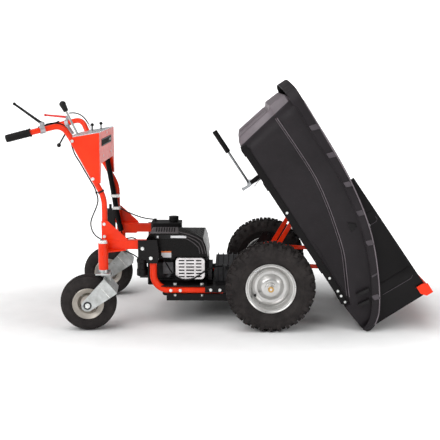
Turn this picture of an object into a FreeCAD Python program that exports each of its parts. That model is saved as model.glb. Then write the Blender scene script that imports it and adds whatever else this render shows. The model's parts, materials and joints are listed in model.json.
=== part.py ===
import FreeCAD, Part
import math
import os

# Power wheelbarrow: two driven wheels, two swivelling casters, a vertical-shaft engine on a
# low tube frame, a console with handlebars, and a tipping tub with a lift-out front gate.
# Millimetres. x runs forward from the drive axle, y to the left, z up from the ground.
# The whole model moves AXLE_X forward when it is written, so its origin is under its middle.
# "right" is -y, "left" is +y. The bed is drawn in its own level frame (u forward, v up
# from its underside) and then tipped TILT degrees about the hinge.

V = FreeCAD.Vector
ORIGIN = V(0, 0, 0)
X = V(1, 0, 0)
Y = V(0, 1, 0)
Z = V(0, 0, 1)

# driving dimensions
AXLE_X = 223.3
TYRE_D = 406.0
TYRE_W = 118.0
TRACK = 650.0
RIM_R = 101.6
RIM_FLANGE_R = 112.0
SHAFT_R = 12.7
RUNNING_GAP = 0.05
CASTER_D = 254.0
CASTER_W = 92.0
CASTER_SWIVEL_X = -753.0
CASTER_Y = 314.0
CASTER_TRAIL = 70.0
CASTER_TURN = 5.0
CASTER_RIM_R = 51.0
FRAME_Y = 220.0
FRAME_TUBE_R = 16.5
FRAME_Z = 159.0
POST_X = -757.0
POST_Y = 222.0
HANDLE_TUBE_R = 12.7
WALL = 2.5
DECK_Z = 175.5
DECK_T = 5.0
PIVOT_X = 5.0
PIVOT_Z = 280.0
PIVOT_U = 533.0
BED_RISE = 180.0
TILT = 56.7
RAIL_Y = 310.0
RAIL_LENGTH = 852.0
PANEL_Y = 336.5
PANEL_T = 2.0
CRANK_X = -420.0
INPUT_X = -150.0
ENGINE_PULLEY_R = 45.0
INPUT_PULLEY_R = 75.0
PULLEY_Z = 120.0
CABLE_R = 3.0

AXLE_Z = TYRE_D / 2
CASTER_AXLE_X = CASTER_SWIVEL_X - CASTER_TRAIL
CASTER_AXLE_Z = CASTER_D / 2


# ---------------------------------------------------------------- helpers

def box(x0, x1, y0, y1, z0, z1):
    return Part.makeBox(x1 - x0, y1 - y0, z1 - z0, V(x0, y0, z0))


def rod(start, end, radius):
    axis = end - start
    return Part.makeCylinder(radius, axis.Length, start, axis)


def pipe(start, end, outer, inner):
    return rod(start, end, outer).cut(rod(start, end, inner))


def join(shapes):
    return shapes[0].fuse(shapes[1:]).removeSplitter()


def drill(shape, holes):
    for hole in holes:
        shape = shape.cut(hole)
    return shape


def plate_y(points, y0, y1):
    """A flat plate: outline in x and z, thickness from y0 to y1."""
    corners = [V(x, y0, z) for x, z in points + points[:1]]
    return Part.Face(Part.makePolygon(corners)).extrude(V(0, y1 - y0, 0))


def plate_z(points, z0, z1):
    """A flat plate: outline in x and y, thickness from z0 to z1."""
    corners = [V(x, y, z0) for x, y in points + points[:1]]
    return Part.Face(Part.makePolygon(corners)).extrude(V(0, 0, z1 - z0))


def bent_path(points, radii):
    """Straight runs joined by tangent arcs."""
    edges = []
    last = points[0]
    for before, corner, after, radius in zip(points, points[1:], points[2:], radii):
        back = (before - corner).normalize()
        ahead = (after - corner).normalize()
        half_turn = (math.pi - back.getAngle(ahead)) / 2
        reach = radius * math.tan(half_turn)
        start = corner + back * reach
        end = corner + ahead * reach
        inward = (back + ahead).normalize()
        middle = corner + inward * (radius / math.cos(half_turn) - radius)
        edges.append(Part.LineSegment(last, start).toShape())
        edges.append(Part.Arc(start, middle, end).toShape())
        last = end
    edges.append(Part.LineSegment(last, points[-1]).toShape())
    return Part.Wire(edges)


def sweep(path, start, towards, radius):
    ring = Part.Wire(Part.makeCircle(radius, start, towards - start))
    return path.makePipeShell([ring], True, False)


def bent_tube(points, radii, outer, inner):
    path = bent_path(points, radii)
    tube = sweep(path, points[0], points[1], outer)
    return tube.cut(sweep(path, points[0], points[1], inner))


def cable_radii(points):
    """Each bend as large as its two runs allow."""
    radii = []
    for before, corner, after in zip(points, points[1:], points[2:]):
        back = before - corner
        ahead = after - corner
        half_turn = (math.pi - back.getAngle(ahead)) / 2
        radii.append(0.45 * min(back.Length, ahead.Length) / math.tan(half_turn))
    return radii


def cable(name, route, radius=CABLE_R):
    """A cable along a route; prints its length and how tight its bends are."""
    points = [V(*point) for point in route]
    radii = cable_radii(points)
    path = bent_path(points, radii)
    solid = sweep(path, points[0], points[1], radius)
    share = solid.Volume / (math.pi * radius ** 2 * path.Length)
    print(name, "length", round(path.Length), "radii", [round(r) for r in radii],
          "volume over section x length", round(share, 4))
    return solid


def revolved(profile, centre, axis=Y):
    """Closed outline of (radius, distance along the axis), turned about the axis."""
    across = Z if axis == Y else X
    corners = [centre + across * r + axis * s for r, s in profile + profile[:1]]
    return Part.Face(Part.makePolygon(corners)).revolve(centre, axis, 360)


def mirrored(shape):
    return shape.mirror(ORIGIN, Y)


def rounded_plan(u0, u1, half, radius, v):
    """Rounded rectangle in a level plane at height v."""
    k = radius * (1 - math.sqrt(0.5))
    edges = []
    corners = [(u1, -half, -1, 1), (u1, half, -1, -1), (u0, half, 1, -1), (u0, -half, 1, 1)]
    ends = []
    for u, y, du, dy in corners:
        along = V(u + du * radius, y, v)
        across = V(u, y + dy * radius, v)
        middle = V(u + du * k, y + dy * k, v)
        first, second = (along, across) if du * dy < 0 else (across, along)
        ends.append((first, middle, second))
    for index, (first, middle, second) in enumerate(ends):
        edges.append(Part.Arc(first, middle, second).toShape())
        edges.append(Part.LineSegment(second, ends[(index + 1) % 4][0]).toShape())
    return Part.Wire(edges)


def on_bed(shape):
    """From the bed's level frame (u, y, v) to where the tipped bed stands."""
    shape = shape.copy()
    shape.translate(V(PIVOT_X - PIVOT_U, 0, PIVOT_Z + BED_RISE))
    shape.rotate(V(PIVOT_X, 0, PIVOT_Z), Y, TILT)
    return shape


def write(name, shape):
    shape = shape.copy()
    shape.translate(V(AXLE_X, 0, 0))
    if not shape.isValid():
        print("NOT VALID", name)
    shape.exportStep("parts/" + name + ".step")


def write_pair(name, right_shape):
    """The right-hand piece and its mirror image on the left."""
    write("right_" + name, right_shape)
    write("left_" + name, mirrored(right_shape))


# ---------------------------------------------------------------- frame

def frame_tube():
    """Rises at the rear to the side bracket, then runs forward to the axle plate."""
    top = V(-537, -FRAME_Y, 300)
    corner = V(-537, -FRAME_Y, FRAME_Z)
    front = V(-215, -FRAME_Y, FRAME_Z)
    return bent_tube([top, corner, front], [72], FRAME_TUBE_R, FRAME_TUBE_R - WALL)


def frame_core():
    """The space inside the right frame tube's outer surface."""
    points = [V(-537, -FRAME_Y, 300), V(-537, -FRAME_Y, FRAME_Z), V(-215, -FRAME_Y, FRAME_Z)]
    return sweep(bent_path(points, [72]), points[0], points[1], FRAME_TUBE_R)


def axle_plate():
    """Carries the axle bearing and the hinge shaft, and laps the frame tube."""
    outer = -(FRAME_Y + FRAME_TUBE_R + 6)
    inner = -(FRAME_Y + FRAME_TUBE_R)
    outline = [(-298, 150), (-298, 180), (-205, 184), (-120, 205), (-45, 300), (-15, 350),
               (40, 352), (50, 305), (105, 282), (105, 240), (55, 160), (-60, 150)]
    plate = plate_y(outline, outer, inner)
    axle_hole = rod(V(0, outer - 1, AXLE_Z), V(0, inner + 1, AXLE_Z), 26)
    hinge_hole = rod(V(PIVOT_X, outer - 1, PIVOT_Z), V(PIVOT_X, inner + 1, PIVOT_Z), 15)
    return drill(plate, [axle_hole, hinge_hole])


def axle_bearing():
    """Flanged ring that fills the hole in the axle plate."""
    plate_out = -(FRAME_Y + FRAME_TUBE_R + 6)
    bore = SHAFT_R + RUNNING_GAP
    body = pipe(V(0, plate_out - 8, AXLE_Z), V(0, -226, AXLE_Z), 26, bore)
    flange = pipe(V(0, plate_out - 6, AXLE_Z), V(0, plate_out, AXLE_Z), 38, bore)
    return join([body, flange])


def stop_pins():
    """Two pins on the axle plate that the front hinge strut meets, tipped and level."""
    inner = -(FRAME_Y + FRAME_TUBE_R)
    pins = []
    for x, z in ((84, 257), (15, 334)):
        pins.append(rod(V(x, inner, z), V(x, inner + 26, z), 8))
    return pins


def side_bracket():
    """Black plate that joins the rear rail to the top of the frame tube."""
    outline = [(-604, 396), (-604, 308), (-567, 303), (-562, 288), (-514, 288),
               (-508, 330), (-516, 396)]
    plate = plate_y(outline, -247, -241)
    spacer = plate_y([(-555, 300), (-519, 300), (-519, 330), (-555, 330)], -241, -218)
    return join([plate, spacer])


def caster_arm():
    """Rear rail, its cradle and the upright swivel tube, welded into one."""
    rail = box(-745, -567, -241, -203, 353, 393)
    hollow = box(-742, -566, -238, -206, 356, 390)
    rail = rail.cut(hollow)
    cradle = plate_z([(-772, -290), (-745, -203), (-660, -203), (-660, -245), (-735, -292)],
                     347, 353)
    web = box(-757, -745, -296, -203, 353, 393)
    tube = rod(V(CASTER_SWIVEL_X, -CASTER_Y, 276), V(CASTER_SWIVEL_X, -CASTER_Y, 396), 22)
    bore = rod(V(CASTER_SWIVEL_X, -CASTER_Y, 270), V(CASTER_SWIVEL_X, -CASTER_Y, 400), 17)
    nipple = rod(V(CASTER_SWIVEL_X, -CASTER_Y - 20, 338), V(CASTER_SWIVEL_X, -CASTER_Y - 28, 338), 3.5)
    arm = join([rail, cradle, web, tube, nipple])
    return arm.cut(bore)


def caster_bushes():
    """Bronze bushes in both ends of both swivel tubes."""
    bushes = []
    for y in (-CASTER_Y, CASTER_Y):
        for z0, z1 in ((276, 296), (376, 396)):
            low = V(CASTER_SWIVEL_X, y, z0)
            high = V(CASTER_SWIVEL_X, y, z1)
            bushes.append(pipe(low, high, 17, SHAFT_R + RUNNING_GAP))
    return bushes


def gusset():
    """Triangular plate that bolts the handlebar post to the rear rail."""
    outline = [(-770, 393), (-770, 484), (-742, 484), (-656, 404), (-652, 393)]
    plate = plate_y(outline, -240, -235)
    foot = box(-745, -652, -240, -206, 393, 397)
    return join([plate, foot])


def engine_deck():
    """Flat plate across both frame tubes with a turned-up rear edge."""
    deck = box(-560, -290, -236, 236, DECK_Z, DECK_Z + DECK_T)
    rear = box(-566, -560, -190, 190, DECK_Z, 288)
    shaft_hole = rod(V(CRANK_X, 0, DECK_Z - 5), V(CRANK_X, 0, DECK_Z + 20), 22)
    corner = box(-570, -500, 196, 240, DECK_Z - 5, 300)
    drain_hole = rod(V(-570, -100, 206), V(-555, -100, 206), 9.5)
    ferrule = gland(BRAKE_LOOP[-2], BRAKE_LOOP[-1], 20)
    deck = join([drill(deck, [shaft_hole, corner, mirrored(corner)]), rear, ferrule])
    bend = frame_core()
    return drill(deck, [drain_hole, bend, mirrored(bend)])


def transaxle_plate():
    """Cross plate between the axle plates that the transaxle is bolted to."""
    plate = box(-262, -60, -236, 236, DECK_Z, DECK_Z + DECK_T)
    shaft_hole = rod(V(INPUT_X, 0, DECK_Z - 5), V(INPUT_X, 0, DECK_Z + 20), 22)
    return plate.cut(shaft_hole)


def belt_cover():
    """Open-topped pan under the frame with a rounded tongue at the rear."""
    top = FRAME_Z - FRAME_TUBE_R
    pan = box(-478, -62, -206, 206, 102, top - 3)
    inside = box(-475, -65, -203, 203, 105, top)
    tongue = box(-490, -478, -150, 150, 112, 136)
    nose = rod(V(-490, -150, 124), V(-490, 150, 124), 12)
    flange = box(-470, -230, -234, 234, top - 3, top)
    opening = box(-466, -65, -203, 203, top - 4, top + 1)
    cover = join([pan.cut(inside), tongue, nose, flange.cut(opening)])
    return cover


def latch_striker():
    """Post on the deck with the pin that the bed latch hooks under."""
    deck_top = DECK_Z + DECK_T
    post = box(-345, -303, 194, 200, deck_top, 362)
    foot = box(-345, -303, 200, 207, deck_top, deck_top + 5)
    pin = rod(V(-325, 176, 349), V(-325, 194, 349), 5)
    return join([post, foot, pin])


def bolt(point, direction, head_radius, head):
    """A hexagon head standing on a face."""
    direction = V(direction).normalize()
    corners = []
    side = direction.cross(X if abs(direction.x) < 0.9 else Z).normalize()
    for turn in range(7):
        spoke = V(side * head_radius)
        turned = FreeCAD.Rotation(direction, 60 * turn).multVec(spoke)
        corners.append(point + turned)
    return Part.Face(Part.makePolygon(corners)).extrude(direction * head)


def frame_bolts():
    """Bolts through the frame tubes, side brackets, gussets and axle plates."""
    bolts = []
    tube_side = -(FRAME_Y + FRAME_TUBE_R)
    for x, z in ((-456, FRAME_Z), (-412, FRAME_Z)):
        bolts.append(bolt(V(x, tube_side, z), -Y, 8, 6))
    for x in (-271, -229):
        bolts.append(bolt(V(x, tube_side - 6, 163), -Y, 8, 6))
    for x, z in ((-583, 358), (-545, 313)):
        bolts.append(bolt(V(x, -247, z), -Y, 9, 7))
    for z in (412, 470):
        bolts.append(bolt(V(POST_X, -240, z), -Y, 8, 6))
    for x in (-437, -312):
        bolts.append(bolt(V(x, -218, DECK_Z + DECK_T), Z, 9, 8))
        bolts.append(bolt(V(x, -218, FRAME_Z - FRAME_TUBE_R - 3), -Z, 6, 12))
    bolts += [mirrored(one) for one in bolts]
    return bolts


# ---------------------------------------------------------------- wheels

def drive_tyre():
    """Hollow pneumatic tyre; the outline is one half-section plus its mirror image."""
    half = [(RIM_R, 36), (RIM_R, 45), (RIM_FLANGE_R + 3, 49.5), (128, 57), (150, TYRE_W / 2),
            (172, TYRE_W / 2), (190, 56), (198, 48), (AXLE_Z, 34)]
    inner = [(193, 30), (188, 40), (178, 50), (150, 52), (128, 49), (112, 38), (RIM_R + 4, 36)]
    outline = half + [(r, -s) for r, s in reversed(half)]
    cavity = inner + [(r, -s) for r, s in reversed(inner)]
    centre = V(0, -TRACK / 2, AXLE_Z)
    return revolved(outline, centre).cut(revolved(cavity, centre))


def drive_rim():
    """Pressed steel rim with a stepped dish and a hub tube."""
    centre = V(0, -TRACK / 2, AXLE_Z)
    half = [(RIM_R, 0), (RIM_R, 45.3), (RIM_FLANGE_R, 50.2), (RIM_FLANGE_R, 53),
            (RIM_R - 5, 51), (RIM_R - 5, 0)]
    barrel = revolved([(r, -s) for r, s in half], centre).fuse(revolved(half, centre))
    dish = revolved([(20, -34), (42, -34), (44, -26), (70, -22), (76, -10), (RIM_R - 4, -6),
                     (RIM_R - 4, -2), (73, -5), (66, -18), (40, -21), (38, -29), (20, -29)],
                    centre)
    hub = revolved([(SHAFT_R, -46), (23, -46), (23, 44), (SHAFT_R, 44)], centre)
    valve = rod(centre + V(-78, -32, -42), centre + V(-78, -2, -42), 4)
    return join([barrel, dish, hub, valve])


def half_shaft():
    return rod(V(0, -(TRACK / 2 + 68), AXLE_Z), V(0, -60, AXLE_Z), SHAFT_R)


def hub_nut():
    face = -(TRACK / 2 + 46)
    nut = bolt(V(0, face, AXLE_Z), -Y, 19, 14)
    washer = rod(V(0, face, AXLE_Z), V(0, face - 3, AXLE_Z), 24)
    return join([nut, washer]).cut(rod(V(0, face - 20, AXLE_Z), V(0, face + 5, AXLE_Z), SHAFT_R))


def swivelled(shape):
    """Right-hand caster pieces turn a little about their kingpin."""
    shape = shape.copy()
    shape.rotate(V(CASTER_SWIVEL_X, -CASTER_Y, 0), Z, CASTER_TURN)
    return shape


def swivelled_left(shape):
    """The left-hand caster is turned the same way, not mirrored."""
    shape = mirrored(shape)
    shape.rotate(V(CASTER_SWIVEL_X, CASTER_Y, 0), Z, CASTER_TURN)
    return shape


def write_casters(name, shape):
    write("right_" + name, swivelled(shape))
    write("left_" + name, swivelled_left(shape))


def caster_tyre():
    half = [(CASTER_RIM_R, 30), (CASTER_RIM_R + 14, 35), (74, 42), (90, CASTER_W / 2),
            (108, CASTER_W / 2 - 2), (120, 36), (CASTER_AXLE_Z, 20)]
    inner = [(119, 18), (113, 32), (104, 38), (90, 39), (74, 36), (CASTER_RIM_R + 6, 28)]
    outline = half + [(r, -s) for r, s in reversed(half)]
    cavity = inner + [(r, -s) for r, s in reversed(inner)]
    centre = V(CASTER_AXLE_X, -CASTER_Y, CASTER_AXLE_Z)
    return revolved(outline, centre).cut(revolved(cavity, centre))


def caster_rim():
    centre = V(CASTER_AXLE_X, -CASTER_Y, CASTER_AXLE_Z)
    barrel_half = [(CASTER_RIM_R, 0), (CASTER_RIM_R, 30.5), (70, 39.5), (69, 42.5),
                   (CASTER_RIM_R - 4, 34), (CASTER_RIM_R - 4, 0)]
    barrel = revolved(barrel_half, centre).fuse(revolved([(r, -s) for r, s in barrel_half], centre))
    dish = revolved([(16, -20), (30, -20), (36, -8), (CASTER_RIM_R - 3, -4),
                     (CASTER_RIM_R - 3, 4), (34, 2), (26, -12), (16, -12)], centre)
    bore = 8 + RUNNING_GAP
    hub = revolved([(bore, -69), (18, -69), (18, 69), (bore, 69)], centre)
    return join([barrel, dish, hub])


def caster_fork():
    """Bent plate fork: a crown square to the legs, tapered legs and the kingpin."""
    lean = math.radians(40)
    along = V(math.cos(lean), 0, math.sin(lean))
    across = V(-math.sin(lean), 0, math.cos(lean))
    axle = V(CASTER_AXLE_X, -CASTER_Y, CASTER_AXLE_Z)
    crown_in = 131.0
    plate = 5.0
    half_crown = 43.5
    leg_in = 70.0
    tip = 27.0
    crown_start = axle + along * crown_in - across * half_crown - Y * (leg_in + plate)
    crown = Part.Face(Part.makePolygon([crown_start, crown_start + along * plate,
                                        crown_start + along * plate + across * 2 * half_crown,
                                        crown_start + across * 2 * half_crown, crown_start]))
    crown = crown.extrude(Y * 2 * (leg_in + plate))
    legs = []
    for y in (-leg_in - plate, leg_in):
        base = axle + Y * y
        corners = [base - across * tip, base + along * crown_in - across * half_crown,
                   base + along * crown_in + across * half_crown, base + across * tip]
        leg = Part.Face(Part.makePolygon(corners + corners[:1])).extrude(Y * plate)
        leg = leg.fuse(rod(base, base + Y * plate, tip))
        legs.append(leg.cut(rod(base - Y, base + Y * (plate + 1), 8)))
    head = box(CASTER_SWIVEL_X - 34, CASTER_SWIVEL_X + 30, -CASTER_Y - 45, -CASTER_Y + 45, 258, 264)
    web = plate_y([(-783, 258), (-723, 258), (-722, 218), (-746, 247)], -CASTER_Y - 24, -CASTER_Y + 24)
    seat = rod(V(CASTER_SWIVEL_X, -CASTER_Y, 264), V(CASTER_SWIVEL_X, -CASTER_Y, 275.5), 21)
    pin = rod(V(CASTER_SWIVEL_X, -CASTER_Y, 262), V(CASTER_SWIVEL_X, -CASTER_Y, 410), SHAFT_R)
    return join([crown, legs[0], legs[1], head, web, seat, pin])


def kingpin_washers():
    """Washer and nut on top of the kingpin."""
    washer = pipe(V(CASTER_SWIVEL_X, -CASTER_Y, 396.5), V(CASTER_SWIVEL_X, -CASTER_Y, 401), 21, SHAFT_R)
    nut = bolt(V(CASTER_SWIVEL_X, -CASTER_Y, 401), Z, 18, 8)
    nut = nut.cut(rod(V(CASTER_SWIVEL_X, -CASTER_Y, 395), V(CASTER_SWIVEL_X, -CASTER_Y, 412), SHAFT_R))
    return join([washer, nut])


def caster_axle_bolt():
    axle = V(CASTER_AXLE_X, -CASTER_Y, CASTER_AXLE_Z)
    shank = rod(axle - Y * 75, axle + Y * 75, 8)
    head = bolt(axle - Y * 75, -Y, 12, 5)
    nut = bolt(axle + Y * 75, Y, 12, 5)
    return join([shank, head, nut])


# ---------------------------------------------------------------- console and handlebars

HANDLE_POINTS = [(POST_X, -POST_Y, 398), (POST_X, -POST_Y, 590), (-903, -POST_Y, 863),
                 (-934, -260, 920), (-1058, -316, 892), (-1164, -320, 865)]
HANDLE_RADII = [150, 60, 60, 200]


def handlebar():
    """One tube: post, console stretch and the flared handle."""
    points = [V(*point) for point in HANDLE_POINTS]
    return bent_tube(points, HANDLE_RADII, HANDLE_TUBE_R, HANDLE_TUBE_R - WALL)


def handle_core(side):
    """The space inside the handlebar's outer surface, on the side with the sign of y."""
    points = [V(*point) for point in HANDLE_POINTS]
    core = sweep(bent_path(points, HANDLE_RADII), points[0], points[1], HANDLE_TUBE_R)
    return core if side < 0 else mirrored(core)


def grip():
    """Rubber sleeve on the end of the handle, closed at its outer end."""
    inner_end = V(*HANDLE_POINTS[-2])
    outer_end = V(*HANDLE_POINTS[-1])
    direction = (outer_end - inner_end).normalize()
    start = outer_end - direction * 108
    end = outer_end + direction * 5
    sleeve = rod(start, end, 16.5).cut(rod(start - direction, outer_end, HANDLE_TUBE_R))
    collar = pipe(start, start + direction * 6, 19, 14)
    return join([sleeve, collar])


CONSOLE_Y = 236.5
CONSOLE_T = 1.8
CONSOLE_FRONT = -773.0


def console_housing():
    """One bent sheet: two side panels and the front with its cut-out."""
    out = CONSOLE_Y + CONSOLE_T
    side = plate_y([(-893, 865), (CONSOLE_FRONT, 885), (CONSOLE_FRONT, 656), (-788, 656),
                    (-803, 664), (-900, 845)], -out, -POST_Y - HANDLE_TUBE_R)
    front = box(CONSOLE_FRONT, CONSOLE_FRONT + CONSOLE_T, -out, out, 656, 885)
    notch = Part.Face(Part.makePolygon([V(-780, -222, 640), V(-780, -185, 742), V(-780, 185, 742),
                                        V(-780, 222, 640), V(-780, -222, 640)])).extrude(X * 20)
    shell = join([side, mirrored(side), front.cut(notch)])
    return drill(shell, [handle_core(-1), handle_core(1)])


def console_height(x):
    """Height of the console's sloping top at x."""
    return 865 + (x + 893) * 20 / 120


def console_top():
    """Bright sloping top plate with the gear slot and the two key slots."""
    out = CONSOLE_Y + CONSOLE_T
    rise = [(-893, console_height(-893)), (CONSOLE_FRONT + CONSOLE_T, console_height(-771))]
    main = plate_y([rise[0], rise[1], (rise[1][0], rise[1][1] + 2.5), (-893, rise[0][1] + 2.5)],
                   -out, out)
    rear = plate_y([(-926, console_height(-926)), rise[0], (-893, rise[0][1] + 2.5),
                    (-926, console_height(-926) + 2.5)], -188, 188)
    gear_slot = box(-914, -864, -128, -112, 840, 900)
    key_slots = [box(-876, -844, 118, 126, 840, 900), box(-833, -801, 118, 126, 840, 900)]
    clutch_ferrule = gland(CLUTCH_ROUTE[-2], CLUTCH_ROUTE[-1], 36)
    plate = join([main, rear, clutch_ferrule])
    return drill(plate, [gear_slot, handle_core(-1), handle_core(1)] + key_slots)


def console_plate():
    """Blank black name plate on the console's front."""
    x = CONSOLE_FRONT + CONSOLE_T
    return box(x, x + 1.5, -170, 200, 822, 866)


def console_bolts():
    bolts = []
    for x, z in ((-893, 848), (-804, 677)):
        bolts.append(bolt(V(x, -(CONSOLE_Y + CONSOLE_T), z), -Y, 8, 6))
    return bolts + [mirrored(one) for one in bolts]


def shift_lever():
    foot = V(-856, -120, 800)
    top = V(-944, -120, 986)
    bush = rod(foot - Y * 10, foot + Y * 10, 11)
    return join([rod(foot, top, 5), bush]).cut(rod(foot - Y * 11, foot + Y * 11, 5 + RUNNING_GAP))


def shift_knob():
    foot = V(-939, -120, 975.5)
    top = V(-961, -120, 1022)
    axis = (top - foot).normalize()
    cone = Part.makeCone(11, 15, 38, foot, axis)
    ball = Part.makeSphere(15.5, foot + axis * 36)
    return join([cone, ball]).cut(rod(V(-856, -120, 800), V(-944, -120, 986), 5))


def shift_bracket():
    """Cheeks under the console top that hold the shift lever's pin."""
    cheek = plate_y([(-872, 788), (-840, 788), (-836, console_height(-836)),
                     (-880, console_height(-880))], -142, -138)
    other = cheek.copy()
    other.translate(Y * 38)
    pin = rod(V(-856, -138, 800), V(-856, -104, 800), 5)
    return join([cheek, other, pin])


def key_lever(x):
    """A flat control key that stands up through its slot."""
    z = console_height(x)
    blade = box(x - 3, x + 3, 120, 124, z - 24, z + 24)
    eye = rod(V(x, 118.5, z - 24), V(x, 125.5, z - 24), 7)
    thumb = rod(V(x, 120, z + 30), V(x, 124, z + 30), 8)
    return join([blade, eye, thumb]).cut(rod(V(x, 110, z - 24), V(x, 130, z - 24), 2.5 + RUNNING_GAP))


def key_bracket():
    """Hanger under the console top with the two keys' pins."""
    hanger = plate_y([(-880, console_height(-880)), (-798, console_height(-798)), (-798, 845),
                      (-880, 831)], 130, 133)
    pins = [rod(V(x, 117, console_height(x) - 24), V(x, 130, console_height(x) - 24), 2.5)
            for x in (-860, -817)]
    return join([hanger] + pins)


def clamp_centre():
    """On the handle's straight run, just ahead of the bend to the grip."""
    corner = V(*HANDLE_POINTS[-2])
    return corner + (V(*HANDLE_POINTS[-3]) - corner).normalize() * 50


def lever_clamp():
    """Split clamp round the handle with a cheek on each side of the lever."""
    centre = clamp_centre()
    direction = (V(*HANDLE_POINTS[-3]) - V(*HANDLE_POINTS[-2])).normalize()
    start = centre - direction * 11
    end = centre + direction * 11
    band = rod(start, end, 17).cut(rod(start - direction, end + direction, HANDLE_TUBE_R))
    foot = centre + V(0, 0, 13)
    cheeks = [box(foot.x - 9, foot.x + 9, foot.y - 9, foot.y - 6, foot.z, foot.z + 20),
              box(foot.x - 9, foot.x + 9, foot.y + 6, foot.y + 9, foot.z, foot.z + 20)]
    pin = rod(V(foot.x, foot.y - 8, foot.z + 14), V(foot.x, foot.y + 8, foot.z + 14), 3)
    return join([band] + cheeks + [pin])


def hand_lever(rise, length):
    """Flat lever over the grip, turning about the clamp's pin."""
    pivot = clamp_centre() + Z * 27
    direction = V(-math.cos(math.radians(rise)), -0.12, math.sin(math.radians(rise))).normalize()
    normal = V(math.sin(math.radians(rise)), 0, math.cos(math.radians(rise)))
    tip = pivot + direction * length
    half = normal * 6
    corners = [pivot + half, pivot - half, tip - half * 0.7, tip + half * 0.7]
    blade = Part.Face(Part.makePolygon(corners + corners[:1])).extrude(Y * 8)
    blade.translate(-Y * 4)
    eye = rod(pivot - Y * 5, pivot + Y * 5, 9)
    knob = Part.makeSphere(7, tip)
    bore = rod(pivot - Y * 20, pivot + Y * 20, 3 + RUNNING_GAP)
    return join([blade, eye, knob]).cut(bore)


def lock_housing():
    """Round barrel under the left handle that carries the lock lever."""
    top = V(-1019, 298, 884)
    foot = V(-992, 294, 842)
    barrel = rod(top, foot, 12)
    strap = rod(V(-1019, 298, 893), V(-1010, 297, 870), 5)
    ear = box(-1031, -1013, 302, 306, 846, 880)
    pin = rod(V(-1025, 306, 854), V(-1025, 316, 854), 3)
    return join([barrel, strap, ear, pin])


def lock_lever():
    pivot = V(-1025, 311, 854)
    tip = V(-1066, 311, 785)
    arm = rod(pivot, tip, 4)
    ball = Part.makeSphere(11, tip, (tip - pivot).normalize())
    eye = rod(pivot - Y * 4.5, pivot + Y * 4.5, 8)
    hole = rod(pivot - Y * 9, pivot + Y * 9, 3 + RUNNING_GAP)
    return eye.cut(hole).fuse(arm.cut(hole)).fuse(ball)


def conduit():
    """Thick black sleeve down the left post that holds the cables and the shift rod."""
    points = [V(-806, 195, 790), V(-795, 196, 690), V(-775, 196, 570), V(-752, 192, 420),
              V(-735, 176, 362)]
    path = bent_path(points, [300, 400, 300])
    solid = sweep(path, points[0], points[1], 13)
    return solid


def conduit_clamps():
    """Two straps that hold the conduit to the left post."""
    clamps = []
    for x, z in ((-770, 540), (-761, 478)):
        strap = box(x - 17, POST_X + 14, 180, 234, z - 7, z + 7)
        if z < 500:
            strap = join([strap, gland(THROTTLE_ROUTE[1], THROTTLE_ROUTE[0], 14)])
        clamps.append(drill(strap, [handle_core(POST_Y), conduit()]))
    return clamps


def relay_box():
    """Small black switch box behind the left post, with its knob."""
    body = box(-815, -772, 212, 244, 346, 468)
    knob = rod(V(-795, 228, 468), V(-795, 228, 492), 7)
    lug = box(-775, -769.7, 216, 234, 400, 440)
    return join([body, knob, lug])


# ---------------------------------------------------------------- engine and drive

SHROUD_NEAR = -185.0
SHROUD_FAR = 150.0


def above_roof(drop):
    """Space over the engine cover: a short near slope, then a long fall to the far side."""
    outline = [V(-700, SHROUD_NEAR, 414 - drop), V(-700, SHROUD_NEAR + 62, 435 - drop),
               V(-700, SHROUD_FAR, 386 - drop), V(-700, SHROUD_FAR, 500), V(-700, SHROUD_NEAR, 500)]
    return Part.Face(Part.makePolygon(outline + outline[:1])).extrude(X * 600)


def blower_shroud():
    """Black engine cover: sloped near edge on top and a falling front shoulder."""
    outline = [(-575, 300), (-577, 380), (-562, 405), (-539, 430), (-519, 436), (-425, 436),
               (-371, 423), (-334, 409), (-308, 393), (-295, 357), (-284, 292), (-300, 288)]
    body = plate_y(outline, SHROUD_NEAR, SHROUD_FAR)
    tank_room = box(-600, -418, 37, 200, 330, 470)
    hollow = plate_y([(-571, 290), (-573, 378), (-558, 402), (-536, 425), (-517, 430),
                      (-426, 430), (-373, 417), (-337, 403), (-313, 389), (-300, 355),
                      (-290, 290)], SHROUD_NEAR + 4, SHROUD_FAR - 4)
    hollow = drill(hollow, [box(-600, -414, 33, 200, 280, 470), above_roof(5)])
    muffler_room = box(-440, -296, -210, -112, 280, 307)
    return drill(body, [above_roof(0), tank_room, hollow, muffler_room])


def fuel_tank():
    tank = box(-572, -422, 40, 146, 333, 426)
    tank = tank.makeFillet(14, [edge for edge in tank.Edges if abs(edge.tangentAt(0).z) > 0.9])
    neck = rod(V(-462, 95, 426), V(-462, 95, 431), 20)
    return join([tank, neck])


def fuel_cap():
    """Knurled cap on the tank's neck."""
    cap = rod(V(-462, 95, 431), V(-462, 95, 452), 24)
    grooves = []
    for index in range(12):
        spoke = FreeCAD.Rotation(Z, 30 * index).multVec(V(25, 0, 0))
        foot = V(-462, 95, 433) + spoke
        grooves.append(rod(foot, foot + Z * 30, 3))
    return drill(cap, grooves)


def engine_block():
    """Crankcase on its foot, with a finned cylinder pointing forward."""
    deck_top = DECK_Z + DECK_T
    foot = box(-545, -318, -130, 130, deck_top, deck_top + 8)
    case = box(-530, -345, -115, 115, deck_top + 8, 262)
    tower = rod(V(CRANK_X, 0, 262), V(CRANK_X, 0, 330), 30)
    barrel = box(-345, -285, -60, 60, 200, 275)
    fins = [box(x, x + 3, -78, 78, 192, 284) for x in range(-338, -290, 9)]
    block = join([foot, case, tower, barrel] + fins)
    bore = SHAFT_R + RUNNING_GAP
    return block.cut(rod(V(CRANK_X, 0, 170), V(CRANK_X, 0, 340), bore))


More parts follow.
